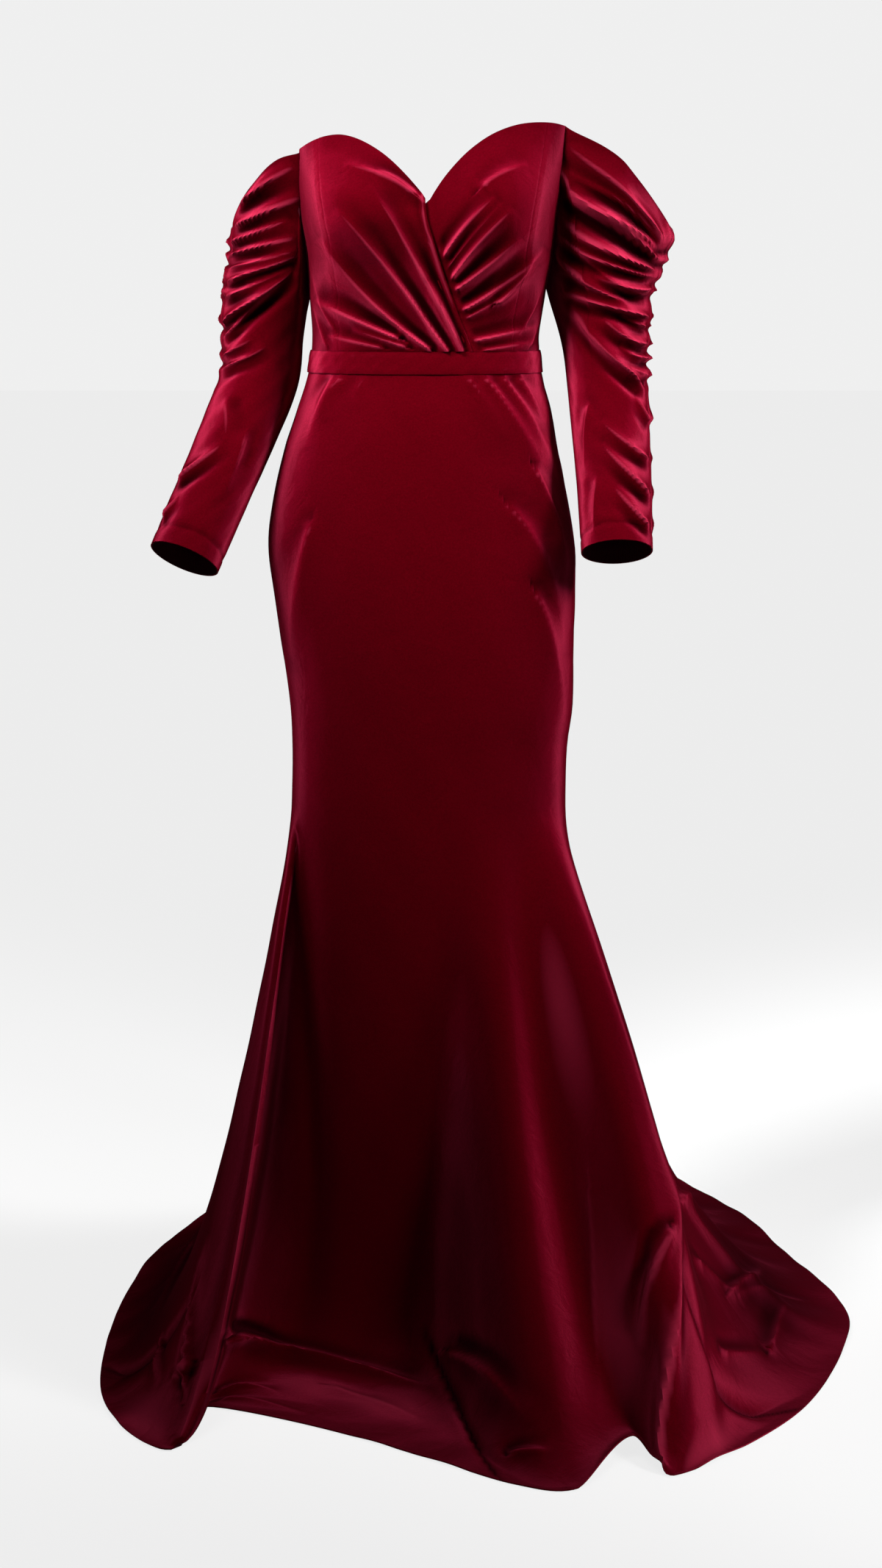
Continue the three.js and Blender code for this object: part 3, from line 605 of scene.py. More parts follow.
def body(angle, z):
    """Points of the worn figure at angles from centre front and heights."""
    half = body_curve("half", z)
    power = 2 / body_curve("square", z)
    s = np.sin(np.radians(angle))
    c = np.cos(np.radians(angle))
    depth = np.where(c > 0, body_curve("front", z), body_curve("back", z))
    x = body_curve("mid", z) + half * np.sign(s) * np.abs(s) ** power
    y = -depth * np.sign(c) * np.abs(c) ** power
    swell = 0
    for side in (-1, 1):
        swell = swell + np.exp(
            -(((x - side * CUP["x"]) / CUP["spread"]) ** 2) - ((z - CUP["z"]) / CUP["spread"]) ** 2
        )
    y = y - CUP["depth"] * swell * np.clip(1.6 * c, 0, 1)
    return stack(x, y, z)


def angle_at(x, z):
    """The angle from centre front at which the figure is x wide at a height."""
    off = x - body_curve("mid", z)
    share = np.minimum(1, np.abs(off) / body_curve("half", z))
    return np.sign(off) * np.degrees(np.arcsin(share ** (body_curve("square", z) / 2)))


def top_edge(angle):
    """Height of the bodice's top edge at angles from centre front."""
    angle = np.asarray(angle, float)
    around = np.abs(angle)
    heights = np.zeros_like(around)
    across = np.sin(np.radians(np.minimum(around, CORNER))) / math.sin(math.radians(CORNER))
    share = across**0.7
    for sign, neck in ((-1, NECK["right"]), (1, NECK["left"])):
        rising = V_HEIGHT + neck["rise"] * (1 - np.clip(1 - share / neck["peak"], 0, 1) ** neck["power"])
        past = np.clip((share - neck["peak"]) / (1 - neck["peak"]), 0, 1)
        neckline = np.where(share < neck["peak"], rising, V_HEIGHT + neck["rise"] - neck["drop"] * past**2)
        corner = V_HEIGHT + neck["rise"] - neck["drop"]
        front = UNDERARM + (corner - UNDERARM) * np.clip((SIDE - around) / (SIDE - CORNER), 0, 1) ** 1.6
        rear = np.clip((around - SIDE) / (BACK_CORNER - SIDE), 0, 1) ** 1.6
        armhole = np.where(around < SIDE, front, UNDERARM + (BACK_TOP - UNDERARM) * rear)
        back = BACK_TOP - BACK_DIP * ease((around - BACK_CORNER) / (180 - BACK_CORNER))
        edge = np.where(around <= CORNER, neckline, np.where(around <= BACK_CORNER, armhole, back))
        heights = np.where(np.sign(angle + 1e-9) == sign, edge, heights)
    return heights


def bezier(points, t):
    """Points of a Bezier curve of any degree, for arrays of control points."""
    while len(points) > 1:
        points = [mix(a, b, t) for a, b in zip(points, points[1:])]
    return points[0]


def skirt(line, down):
    """Points of the skirt: down is 0 at the waist, 1 at the knee and 2 at the hem."""
    line, down = np.broadcast_arrays(line, down)
    column = {name: drape_curve(name, line) for name in Drape._fields}
    fitted = body(column["knee"], mix(-SEAM, KNEE, np.clip(down, 0, 1)))
    knee = body(column["knee"], np.full_like(line, KNEE, dtype=float))
    t = np.clip(down - 1, 0, 1)[..., None]
    hem = stack(column["x"], column["y"], FLOOR + np.maximum(0, column["lift"]))
    drop = FLOOR - KNEE
    start = knee.copy()
    start[..., 2] = KNEE + drop * column["fall"] / 3
    below = mix(knee, hem, column["lean"][..., None])
    below[..., 2] = KNEE + drop * column["fall"]
    below[..., 0] += column["side"] / 2
    touch = mix(knee, hem, column["reach"][..., None])
    touch[..., 2] = FLOOR
    touch[..., 0] += column["side"]
    flared = bezier([knee, start, below, touch, hem], t)
    return np.where(down[..., None] <= 1, fitted, flared)


def side_line(angle):
    """The place along the drape lines of a side seam at an angle at the knee."""
    places = np.linspace(0, len(DRAPE) - 1, 4000)
    return float(np.interp(angle, drape_curve("knee", places), places))


def arm_tube(side, turn, share):
    """Points of a sleeve's plain tube, by turn round the arm and share of the way down it."""
    sign = 1 if side == "left" else -1
    curve = arm_curve[side]
    last = len(ARM[side]) - 1
    at = share * last
    centre = stack(*(curve(name, at) for name in "xyz"))
    step = 0.02
    near = np.clip(at, step, last - step)
    low, high = (stack(*(curve(name, place) for name in "xyz")) for place in (near + step, near - step))
    axis = unit(low - high)
    across = unit(np.array([1.0, 0, 0]) - axis * axis[..., :1])
    back = unit(np.cross(across, axis))
    wide = (curve("wide", at) * np.cos(np.radians(turn)))[..., None]
    deep = (curve("deep", at) * np.sin(np.radians(turn)))[..., None]
    return centre - sign * across * wide - back * deep


def unit(vectors):
    """Vectors of length one."""
    return vectors / np.maximum(np.linalg.norm(vectors, axis=-1, keepdims=True), 1e-9)


def share_at(side, z):
    """How far down the arm its centre line reaches a height."""
    shares = np.linspace(0, 0.6, 1200)
    heights = arm_curve[side]("z", shares * (len(ARM[side]) - 1))
    return np.interp(-np.asarray(z, float), -heights, shares)


def body_outward(angle, z):
    """The figure's outward direction at angles and heights."""
    step = 0.01
    across = body(angle + step, z) - body(angle - step, z)
    up = body(angle, z + step) - body(angle, z - step)
    return unit(np.cross(across, up))


def armhole_anchor(side, turn):
    """Height and place of a sleeve's top where the armhole holds it, for turns past the underarm."""
    sign = 1 if side == "left" else -1
    around = np.mod(turn, 360)
    front = around <= 180
    share = np.where(front, around / FRONT_TURN, (360 - around) / (360 - BACK_TURN))
    share = np.clip(share, 0, 1)
    angle = sign * mix(SIDE, np.where(front, CORNER, BACK_CORNER), share)
    z = top_edge(angle) - LOOP_DROP
    facing = WALL * np.maximum(0.25, np.cos(np.radians(turn)))
    point = body(angle, z) + body_outward(angle, z) * (WALL + LAP_EASE + facing)[..., None]
    return z, point


def sleeve(side, turn, up):
    """Points of a sleeve: turn goes round the arm and up is 1 at the top edge and 0 at the cuff."""
    sign = 1 if side == "left" else -1
    turn, up = np.broadcast_arrays(np.asarray(turn, float), up)
    around = np.mod(turn, 360)
    free = (around > FRONT_TURN) & (around < BACK_TURN)
    anchor_z, anchor = armhole_anchor(side, turn)
    top_z = np.where(free, edge_curve[side]("z", around), anchor_z)
    start = share_at(side, top_z)
    point = arm_tube(side, turn, mix(1, start, up))
    cap = ease((up - 1 + CAP_SHARE) / CAP_SHARE) ** 1.5
    held = anchor - arm_tube(side, turn, start)
    to_front = 1 - ease((around - FRONT_TURN) / CAP_EASED)
    to_back = 1 - ease((BACK_TURN - around) / CAP_EASED)
    corner = np.where(to_front > to_back, float(FRONT_TURN), float(BACK_TURN))
    corner_z, corner_point = armhole_anchor(side, corner)
    eased = corner_point - arm_tube(side, corner, share_at(side, corner_z))
    eased = eased * np.maximum(to_front, to_back)[..., None]
    point = point + np.where(free[..., None], eased, held) * cap[..., None]
    out = sign * edge_curve[side]("out", around) * ease((up - 0.8) / 0.2) * free
    point[..., 0] += out
    return point


def crease_relief(x, z, rows, scale=(1.0, 1.0), start=0.6, run=0.16):
    """The rise of creases over points x and z, each a crest with one steep side and a trough beside it."""
    x, z = np.broadcast_arrays(x, z)
    total = np.zeros(x.shape)
    scale_x, scale_z = (np.broadcast_to(part, x.shape) for part in scale)
    t = np.linspace(0, 1, 13)
    for row in rows:
        path_x = (1 - t) ** 2 * row.x0 + 2 * t * (1 - t) * row.xm + t * t * row.x1
        path_z = (1 - t) ** 2 * row.z0 + 2 * t * (1 - t) * row.zm + t * t * row.z1
        wide, tall = np.ptp(path_x), np.ptp(path_z)
        far_x = np.abs(x - path_x.mean()) - 0.6 * wide
        far_z = np.abs(z - path_z.mean()) - 0.6 * tall
        reach = 7 * max(row.near, row.far)
        close = (far_x * scale_x < reach) & (far_z * scale_z < reach)
        if not close.any():
            continue
        px, pz, sx, sz = x[close], z[close], scale_x[close], scale_z[close]
        best = np.full(px.shape, 1e9)
        signed = np.zeros(px.shape)
        along = np.zeros(px.shape)
        for k in range(len(t) - 1):
            dx, dz = (path_x[k + 1] - path_x[k]) * sx, (path_z[k + 1] - path_z[k]) * sz
            from_x, from_z = (px - path_x[k]) * sx, (pz - path_z[k]) * sz
            share = np.clip((from_x * dx + from_z * dz) / (dx * dx + dz * dz), 0, 1)
            off_x, off_z = from_x - share * dx, from_z - share * dz
            distance = np.hypot(off_x, off_z)
            nearer = distance < best
            best = np.where(nearer, distance, best)
            signed = np.where(nearer, np.sign(off_x * dz - off_z * dx) * distance, signed)
            along = np.where(nearer, (k + share) / (len(t) - 1), along)
        width = mix(row.near, row.far, along)
        steep = signed * np.sign(row.under) > 0
        slope = np.where(steep, STEEP, GENTLE) * width
        fade = ease(along / run + start) * (1 - along**3)
        ridge = row.height * np.exp(-((best / slope) ** CREST))
        trough = abs(row.under) * bell(best - 2.0 * width, 1.2 * width) * steep
        total[close] += fade * (ridge - trough)
    return total


def ripple(x, z, size, seed):
    """A gentle unevenness of hand-worn cloth, from a few crossed waves."""
    total = 0
    for k in range(5):
        turn = seed * 1.7 + k * 2.4
        wave = 2 * math.pi / (size * (0.7 + 0.23 * k))
        along = (x * math.cos(turn) + z * math.sin(turn)) * wave
        total = total + np.sin(along + seed + 1.3 * k) / (1 + 0.5 * k)
    return total / 2.6


def outward(points):
    """Outward directions of a grid of points that runs to the wearer's left and upwards."""
    across = np.gradient(points, axis=1)
    up = np.gradient(points, axis=0)
    return unit(np.cross(across, up))


def blurred(values, reach):
    """A grid of values, each the soft mean of its neighbours within reach rows and columns."""
    for axis, near in enumerate(reach):
        steps = range(-math.ceil(2 * near), math.ceil(2 * near) + 1)
        weights = bell(np.array(steps), near)
        last = values.shape[axis] - 1
        at = np.arange(last + 1)
        moved = (np.take(values, np.clip(at + step, 0, last), axis=axis) for step in steps)
        values = sum(weight * row for weight, row in zip(weights, moved)) / weights.sum()
    return values


def painted_fold_light(rise, points):
    """Painted light from a relief: up to 1, a painted highlight, on crests and down to -1, painted shade, in
    hollows.
    """
    wide, long, _ = lengths(points)
    steps = np.array([long / points.shape[0], wide / points.shape[1]]) * MM
    near, far = (rise - blurred(rise, reach / steps) for reach in FOLD_LIGHT_REACH)
    return 0.8 * np.tanh(near / 0.9) + 0.6 * np.minimum(0, np.tanh(far / 4))


def new_sheet(name, points, sizes, lean):
    """A grid primitive whose vertices take the panel's places, with its cloth thickness on the inside."""
    rows, columns = points.shape[:2]
    bpy.ops.object.select_all(action="DESELECT")
    bpy.ops.mesh.primitive_grid_add(
        x_subdivisions=columns - 1,
        y_subdivisions=rows - 1,
        size=2,
        calc_uvs=True,
    )
    sheet = bpy.context.object
    sheet.name = f"{name}_cloth"
    sheet.data.name = f"{name}_cloth"
    mesh = sheet.data
    flat = np.empty(len(mesh.vertices) * 3)
    mesh.vertices.foreach_get("co", flat)
    flat = flat.reshape(-1, 3)
    i = np.rint((flat[:, 0] + 1) / 2 * (columns - 1)).astype(int)
    j = np.rint((flat[:, 1] + 1) / 2 * (rows - 1)).astype(int)
    mesh.vertices.foreach_set("co", (points[j, i] / MM).ravel())
    # The painted highlights and painted shade go on the vertices as an attribute that the velvet reads
    pile = mesh.attributes.new(PAINTED_LIGHT_ATTRIBUTE, "FLOAT", "POINT")
    pile.data.foreach_set("value", np.clip(lean[j, i], -1, 1).astype(np.float32))
    mesh.update()
    for material in (velvet_material(), backing_material()):
        mesh.materials.append(material)
    wall = sheet.modifiers.new("Cloth", "SOLIDIFY")
    wall.thickness = sizes.cloth
    wall.offset = -1
    wall.use_rim = True
    wall.material_offset = 1
    wall.material_offset_rim = 0
    bpy.ops.object.modifier_apply(modifier=wall.name)
    bpy.ops.object.shade_smooth_by_angle(angle=math.radians(EDGE_ANGLE))
    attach(sheet, "root")
    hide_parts(name)
    return sheet


def lengths(points):
    """Width, length and area in metres of a grid of points."""
    wide = np.linalg.norm(np.diff(points, axis=1), axis=2).sum(axis=1) / MM
    long = np.linalg.norm(np.diff(points, axis=0), axis=2).sum(axis=0) / MM
    a = points[1:, 1:] - points[:-1, :-1]
    b = points[1:, :-1] - points[:-1, 1:]
    area = np.linalg.norm(np.cross(a, b), axis=2).sum() / 2e6
    return float(wide.max()), float(long.max()), float(area)


def counts(points, sizes, detail):
    """Columns and rows of a panel for the mesh spacing and its share of the detail."""
    wide, long, _ = lengths(points)
    columns, rows = detail * wide / sizes.spacing, detail * long / sizes.spacing
    share = min(1.0, math.sqrt(detail * sizes.most / (columns * rows)))
    return max(LEAST_THREADS, round(columns * share)), max(LEAST_THREADS, round(rows * share))


def graded(path, start, end, count, finer):
    """Places from start to end, evenly along a path of points or closer together where finer says so."""
    fine = np.linspace(start, end, 1201)
    steps = np.linalg.norm(np.diff(path(fine), axis=0), axis=1)
    steps = steps * np.interp(0.5 * (fine[1:] + fine[:-1]), *zip(*finer))
    travelled = np.concatenate([[0], np.cumsum(steps)])
    return np.interp(np.linspace(0, travelled[-1], count), travelled, fine)


def declare(points):
    """Work out a panel's cut width and length from its grid, the width kept to the least fill; nothing is
    done with them.
    """
    wide, long, area = lengths(points)
    wide = min(wide, area / (LEAST_FILL * long))


def seam_dip(u, share=0.012):
    """How far cloth dips at a seam along one side of a panel, for places u counted from that seam."""
    return -0.16 * bell(u, share)


def sew_panel(
    name,
    surface,
    relief,
    across,
    sizes,
    wall=WALL,
    finer=None,
    painted_light=None,
    detail=1.0,
):
    """Make one panel from its surface, a relief along its outward direction and its place across the body."""
    u = np.linspace(*across, PLAIN)[None, :]
    v = np.linspace(0, 1, PLAIN)[:, None]
    columns, rows = counts(surface(u, v), sizes, detail)
    u = np.linspace(*across, columns)[None, :]
    v = np.linspace(0, 1, rows)[:, None]
    if finer is not None:
        middle = 0.5 * (across[0] + across[1])
        u = graded(lambda place: surface(place, HEM_VIEW), *across, columns, finer[0])[None, :]
        v = graded(lambda place: surface(middle, place), 0, 1, rows, finer[1])[:, None]
    points = surface(u, v)
    u, v = np.broadcast_arrays(u, v)
    rise = relief(u, v, points)
    shaped = points + outward(points) * (wall + rise)[..., None]
    shaped[..., 2] = np.maximum(shaped[..., 2], FLOOR + WALL)
    # The panel's painted light: highlights on crests and shade in hollows, with any painted patches added
    lean = painted_fold_light(rise, shaped)
    # Any painted patches of light and shade are added on top
    if painted_light is not None:
        lean = lean + painted_light(u, v)
    sheet = new_sheet(name, shaped, sizes, lean)
    declare(shaped)


def node_material(name):
    """A new material with nodes, or the one of that name."""
    material = bpy.data.materials.get(name)
    if material is not None:
        return material, None
    material = bpy.data.materials.new(name)
    material.use_nodes = True
    return material, material.node_tree


def feed(tree, node, **inputs):
    """Set a node's inputs, named with _ for a space, to values or link them to other nodes' outputs."""
    for name, value in inputs.items():
        socket = node.inputs[name.replace("_", " ")]
        if isinstance(value, bpy.types.NodeSocket):
            tree.links.new(value, socket)
        else:
            socket.default_value = value
    return node


def add_node(tree, kind, output, **inputs):
    """The named output of a new shader node with its inputs set."""
    return feed(tree, tree.nodes.new(f"ShaderNode{kind}"), **inputs).outputs[output]


def add_ramp(tree, fac, stops):
    """The colour of a new ramp that runs through stops of a place and a colour, the first at 0."""
    ramp = tree.nodes.new("ShaderNodeValToRGB")
    elements = ramp.color_ramp.elements
    elements.remove(elements[-1])
    for place, tint in stops:
        element = elements.new(place) if place > 0 else elements[0]
        element.color = (*tint, 1)
    return feed(tree, ramp, Fac=fac).outputs["Color"]


def mix_colors(tree, blend, **inputs):
    """The result of a new node that blends the colours A and B by a factor."""
    node = tree.nodes.new("ShaderNodeMix")
    node.data_type = "RGBA"
    node.blend_type = blend
    return feed(tree, node, **inputs).outputs["Result"]


def velvet_material():
    """Cut-pile velvet: dark straight on, with a painted sheen on folds and edges, painted shade in hollows
    and painted highlights on crests, and a real sheen caught by the tips of the pile.
    """
    material, tree = node_material("burgundy_velvet")
    if tree is None:
        return material
    look = bpy.context.scene.gown_velvet
    place = add_node(tree, "TexCoord", "Object")
    nap = add_node(tree, "TexNoise", "Fac", Vector=place, Scale=560, Detail=3)
    crushed = add_node(
        tree, "TexNoise", "Fac", Vector=place, Scale=26, Detail=5, Roughness=0.55, Distortion=0.8
    )
    leaning = add_node(tree, "Bump", "Normal", Height=crushed, Strength=0.5, Distance=0.0022)
    # Painted sheen and shade: the base colour runs from dark straight on to light on slopes and dark again at
    # the outline
    turned = add_node(tree, "LayerWeight", "Facing", Normal=leaning, Blend=0.5)
    stops = (
        (0.0, look.deep),
        (0.17, look.pile),
        (0.34, look.slope),
        (0.52, look.lit),
        (0.72, look.slope),
        (0.88, look.deep),
    )
    pile = add_ramp(tree, turned, stops)
    grain = add_node(tree, "MapRange", "Result", Value=nap, To_Min=0.55, To_Max=1.35)
    tips = mix_colors(tree, "MULTIPLY", Factor=0.8, A=pile, B=grain)
    # Painted shade: the colour is darkened where the painted light attribute is below 0, in hollows
    painted_light_node = tree.nodes.new("ShaderNodeAttribute")
    painted_light_node.attribute_name = PAINTED_LIGHT_ATTRIBUTE
    lean = painted_light_node.outputs["Fac"]
    painted_hollow_shade = add_node(tree, "MapRange", "Result", Value=lean, From_Min=-1, From_Max=0, To_Min=0.12)
    dark = mix_colors(tree, "MULTIPLY", Factor=1, A=tips, B=painted_hollow_shade)
    # Painted highlight: on crests the colour is mixed towards the crest colour
    crest = add_node(tree, "MapRange", "Result", Value=lean, From_Min=0.2, To_Max=0.45)
    light = mix_colors(tree, "MIX", Factor=crest, A=dark, B=(*look.crest, 1))
    normal = add_node(tree, "Bump", "Normal", Height=nap, Normal=leaning, Strength=0.35, Distance=0.0006)
    feed(
        tree,
        tree.nodes["Principled BSDF"],
        Base_Color=light,
        Normal=normal,
        Roughness=0.82,
        Specular_IOR_Level=0.0,
        Sheen_Weight=look.sheen_weight,
        Sheen_Roughness=0.26,
        Sheen_Tint=(*look.sheen, 1),
    )
    return material


def backing_material():
    """The knitted wrong side of the velvet: dull and dark, with fine courses."""
    material, tree = node_material("velvet_backing")
    if tree is None:
        return material
    backing = bpy.context.scene.gown_velvet.backing
    place = add_node(tree, "TexCoord", "Object")
    knit = add_node(tree, "TexWave", "Fac", Vector=place, Scale=160, Distortion=1.5)
    yarn = add_ramp(tree, knit, ((0.0, [0.7 * part for part in backing]), (1.0, backing)))
    normal = add_node(tree, "Bump", "Normal", Height=knit, Strength=0.15, Distance=0.0004)
    shader = tree.nodes["Principled BSDF"]
    feed(tree, shader, Base_Color=yarn, Normal=normal, Roughness=0.7, Specular_IOR_Level=0.03)
    return material


def wrap_angle(under):
    """The angle from centre front, at the height of the V, of a place so far under the wrap edge."""
    height = np.array(float(V_HEIGHT))
    return float(angle_at(wrap_curve("x", height) - under, height))


def over_front(u, v):
    """The over front's surface, from its princess seam to the wrap edge."""
    top = top_edge(np.minimum(-1e-6, mix(-PRINCESS, wrap_angle(0), u)))
    z = mix(SEAM, top, v)
    edge_x = wrap_curve("x", z)
    point = body(mix(-PRINCESS, angle_at(edge_x, z), u), z)
    # Near its edge the over front comes forward, to lie on the under front
    overlap = 1 + (WRAP_UNDER - 1) * ease((V_HEIGHT - z) / 30)
    lap = ease((point[..., 0] - (edge_x - overlap - 30)) / 28)
    point[..., 1] -= (WALL + 0.8) * lap
    return point


def under_front(u, v):
    """The under front's surface, from beneath the wrap edge to its princess seam."""
    start = wrap_angle(WRAP_UNDER)
    edge = wrap_angle(0)
    angle = mix(start, PRINCESS, u)
    hidden = np.clip((edge - angle) / (edge - start), 0, 1)
    z = mix(SEAM, top_edge(np.maximum(1e-6, angle)) - 6 * hidden, v)
    return body(mix(angle_at(wrap_curve("x", z) - WRAP_UNDER, z), PRINCESS, u), z)


class GOWN_OT_fronts(bpy.types.Operator):
    """Sew the two crossed fronts with their pleats"""

    bl_idname = "gown.fronts"
    bl_label = "Crossed fronts"

    def execute(self, context):
        sizes = context.scene.gown_sizes

        def over_relief(u, v, p):
            x, z = p[..., 0], p[..., 2]
            edge = wrap_curve("x", z)
            roll = 1.8 * bell(edge - x - 3.5, 3) * ease((z - 20) / 40)
            pleats = sizes.crease * crease_relief(x, z, OVER_PLEATS)
            return pleats + roll + seam_dip(u) + 0.35 * ripple(x, z, 46, 1)

        def under_relief(u, v, p):
            x, z = p[..., 0], p[..., 2]
            clear = ease((x - wrap_curve("x", z) - 3) / 9)
            pleats = sizes.crease * crease_relief(x, z, UNDER_PLEATS)
            return clear * (pleats + 0.35 * ripple(x, z, 46, 2)) + seam_dip(1 - u)

        for name, surface, relief, beside in (
            ("bodice_over_front", over_front, over_relief, "bodice_side_right"),
            ("bodice_under_front", under_front, under_relief, "bodice_side_left"),
        ):
            sew_panel(name, surface, relief, (0, 1), sizes)
        return {"FINISHED"}


class GOWN_OT_sides(bpy.types.Operator):
    """Sew the sides and the two backs that meet at the centre-back closing"""

    bl_idname = "gown.sides"
    bl_label = "Sides and backs"

    def execute(self, context):
        sizes = context.scene.gown_sizes

        def surface(angle, v):
            return body(angle, mix(SEAM, top_edge(angle), v))

        def relief(rows, low, high):
            def rise(angle, v, p):
                x, z = p[..., 0], p[..., 2]
                dips = seam_dip(angle - low, 0.8) + seam_dip(high - angle, 0.8)
                return sizes.crease * crease_relief(x, z, rows) + dips

            return rise

        # Painted shade on the side panels, darker as they turn away past the princess seam
        def painted_side_shade(angle, v):
            return -0.4 * ease((np.abs(angle) - PRINCESS) / 12)

        for side, sign, pleats in (("left", 1, UNDER_PLEATS), ("right", -1, OVER_PLEATS)):
            low, high = sorted((sign * PRINCESS, sign * SIDE))
            creases = [
                row._replace(x0=sign * row.x0, xm=sign * row.xm, x1=sign * row.x1) for row in SIDE_CREASES
            ]
            sew_panel(
                f"bodice_side_{side}",
                surface,
                relief(pleats + creases, low, high),
                (low, high),
                sizes,
                painted_light=painted_side_shade,
                detail=0.8,
            )
            low, high = sorted((sign * SIDE, sign * 180))
            sew_panel(
                f"bodice_back_{side}",
                surface,
                relief(BACK_CREASES, low, high),
                (low, high),
                sizes,
                detail=0.6,
            )
        return {"FINISHED"}


class GOWN_OT_waistband(bpy.types.Operator):
    """Sew the waistband over the waist seam"""

    bl_idname = "gown.waistband"
    bl_label = "Waistband"

    def execute(self, context):
        sizes = context.scene.gown_sizes

        def surface(angle, v):
            angle, v = np.broadcast_arrays(np.asarray(angle, float), v)
            point = body(angle, mix(-BAND_HALF, BAND_HALF, v))
            flat = point * np.array([1, 1, 0])
            return point + unit(flat) * (BAND_PROUD - 1)

        def relief(angle, v, p):
            crown = 0.9 * (1 - (2 * v - 1) ** 4) - 0.7
            tucks = 0.3 * ripple(angle * 2.3, v * 25, 21, 5)
            return crown + tucks

        for name, low, high in (
            ("waistband_front", -SIDE, SIDE),
            ("waistband_back_left", SIDE, 180),
            ("waistband_back_right", -180, -SIDE),
        ):
            sew_panel(
                name,
                surface,
                relief,
                (low, high),
                sizes,
                wall=BAND_WALL,
                detail=0.8,
            )
        return {"FINISHED"}


class GOWN_OT_skirt(bpy.types.Operator):
    """Sew the front and the two backs of the skirt, which carry the train"""

    bl_idname = "gown.skirt"
    bl_label = "Skirt and train"

    def execute(self, context):
        sizes = context.scene.gown_sizes
        left = side_line(SKIRT_SIDE)
        right = side_line(-SKIRT_SIDE)
        last = len(DRAPE) - 1

        def surface(line, v):
            points = skirt(line, mix(2, 0, v))
            points[..., 0] += BACK_LAP * (bell(line, LAP_LINES) - bell(last - line, LAP_LINES))
            return points

        # Painted light and painted shade in soft patches over the flare
        def painted_light(line, v):
            total = 0.0
            for patch in PAINTED_LIGHT_PATCHES:
                along = (line - patch.line) / patch.lines
                below = (2 - 2 * v - patch.down) / patch.downs
                total = total + patch.lean * np.exp(-(along**2 + below**2))
            return total

        def relief(low, high):
            def rise(line, v, p):
                x, y, z = p[..., 0], p[..., 1], p[..., 2]
                down = 2 - 2 * v
                front = y < SIDE_Y
                total = np.where(front, crease_relief(x, z, HIP_DRAGS), crease_relief(x, z, SEAT_DRAGS))
                total = total * ease((HIP_TOP - z) / 14 + 0.4)
                for flute in FLUTES:
                    # A fold grows from where it starts and flattens where the hem touches the floor
                    grown = ease((down - flute.start) / 0.5) * (1 - 0.55 * ease((down - 1.8) / 0.2))
                    total = total + flute.height * grown * bell(line - flute.line, flute.width)
                closed = ease(line / 0.5) * ease((last - line) / 0.5)
                scale = [
                    np.linalg.norm(np.gradient(p, axis=axis), axis=2) / np.abs(np.gradient(place, axis=axis))
                    for axis, place in ((1, line), (0, down))
                ]
                total = (total + crease_relief(line, down, FLARE_CREASES, scale)) * closed
                near_floor = ease((FLOOR + LYING - z) / 70)
                total = total + near_floor * 1.5 * ripple(x, y, 120, 3)
                total = total + 0.5 * ripple(x, z, 90, 4) * (1 - near_floor)
                dips = seam_dip(line - low, 0.02) + seam_dip(high - line, 0.02)
                return sizes.crease * total + dips

            return rise

        for name, low, high, hung_from in (
            ("skirt_front", right, left, "waistband_front"),
            ("skirt_back_left", left, last, "waistband_back_left"),
            ("skirt_back_right", 0, right, "waistband_back_right"),
        ):
            sew_panel(
                name,
                surface,
                relief(low, high),
                (low, high),
                sizes,
                finer=(FINER_LINES, FINER_ROWS),
                painted_light=painted_light,
                detail=1.0 if name == "skirt_front" else 0.82,
            )
        return {"FINISHED"}


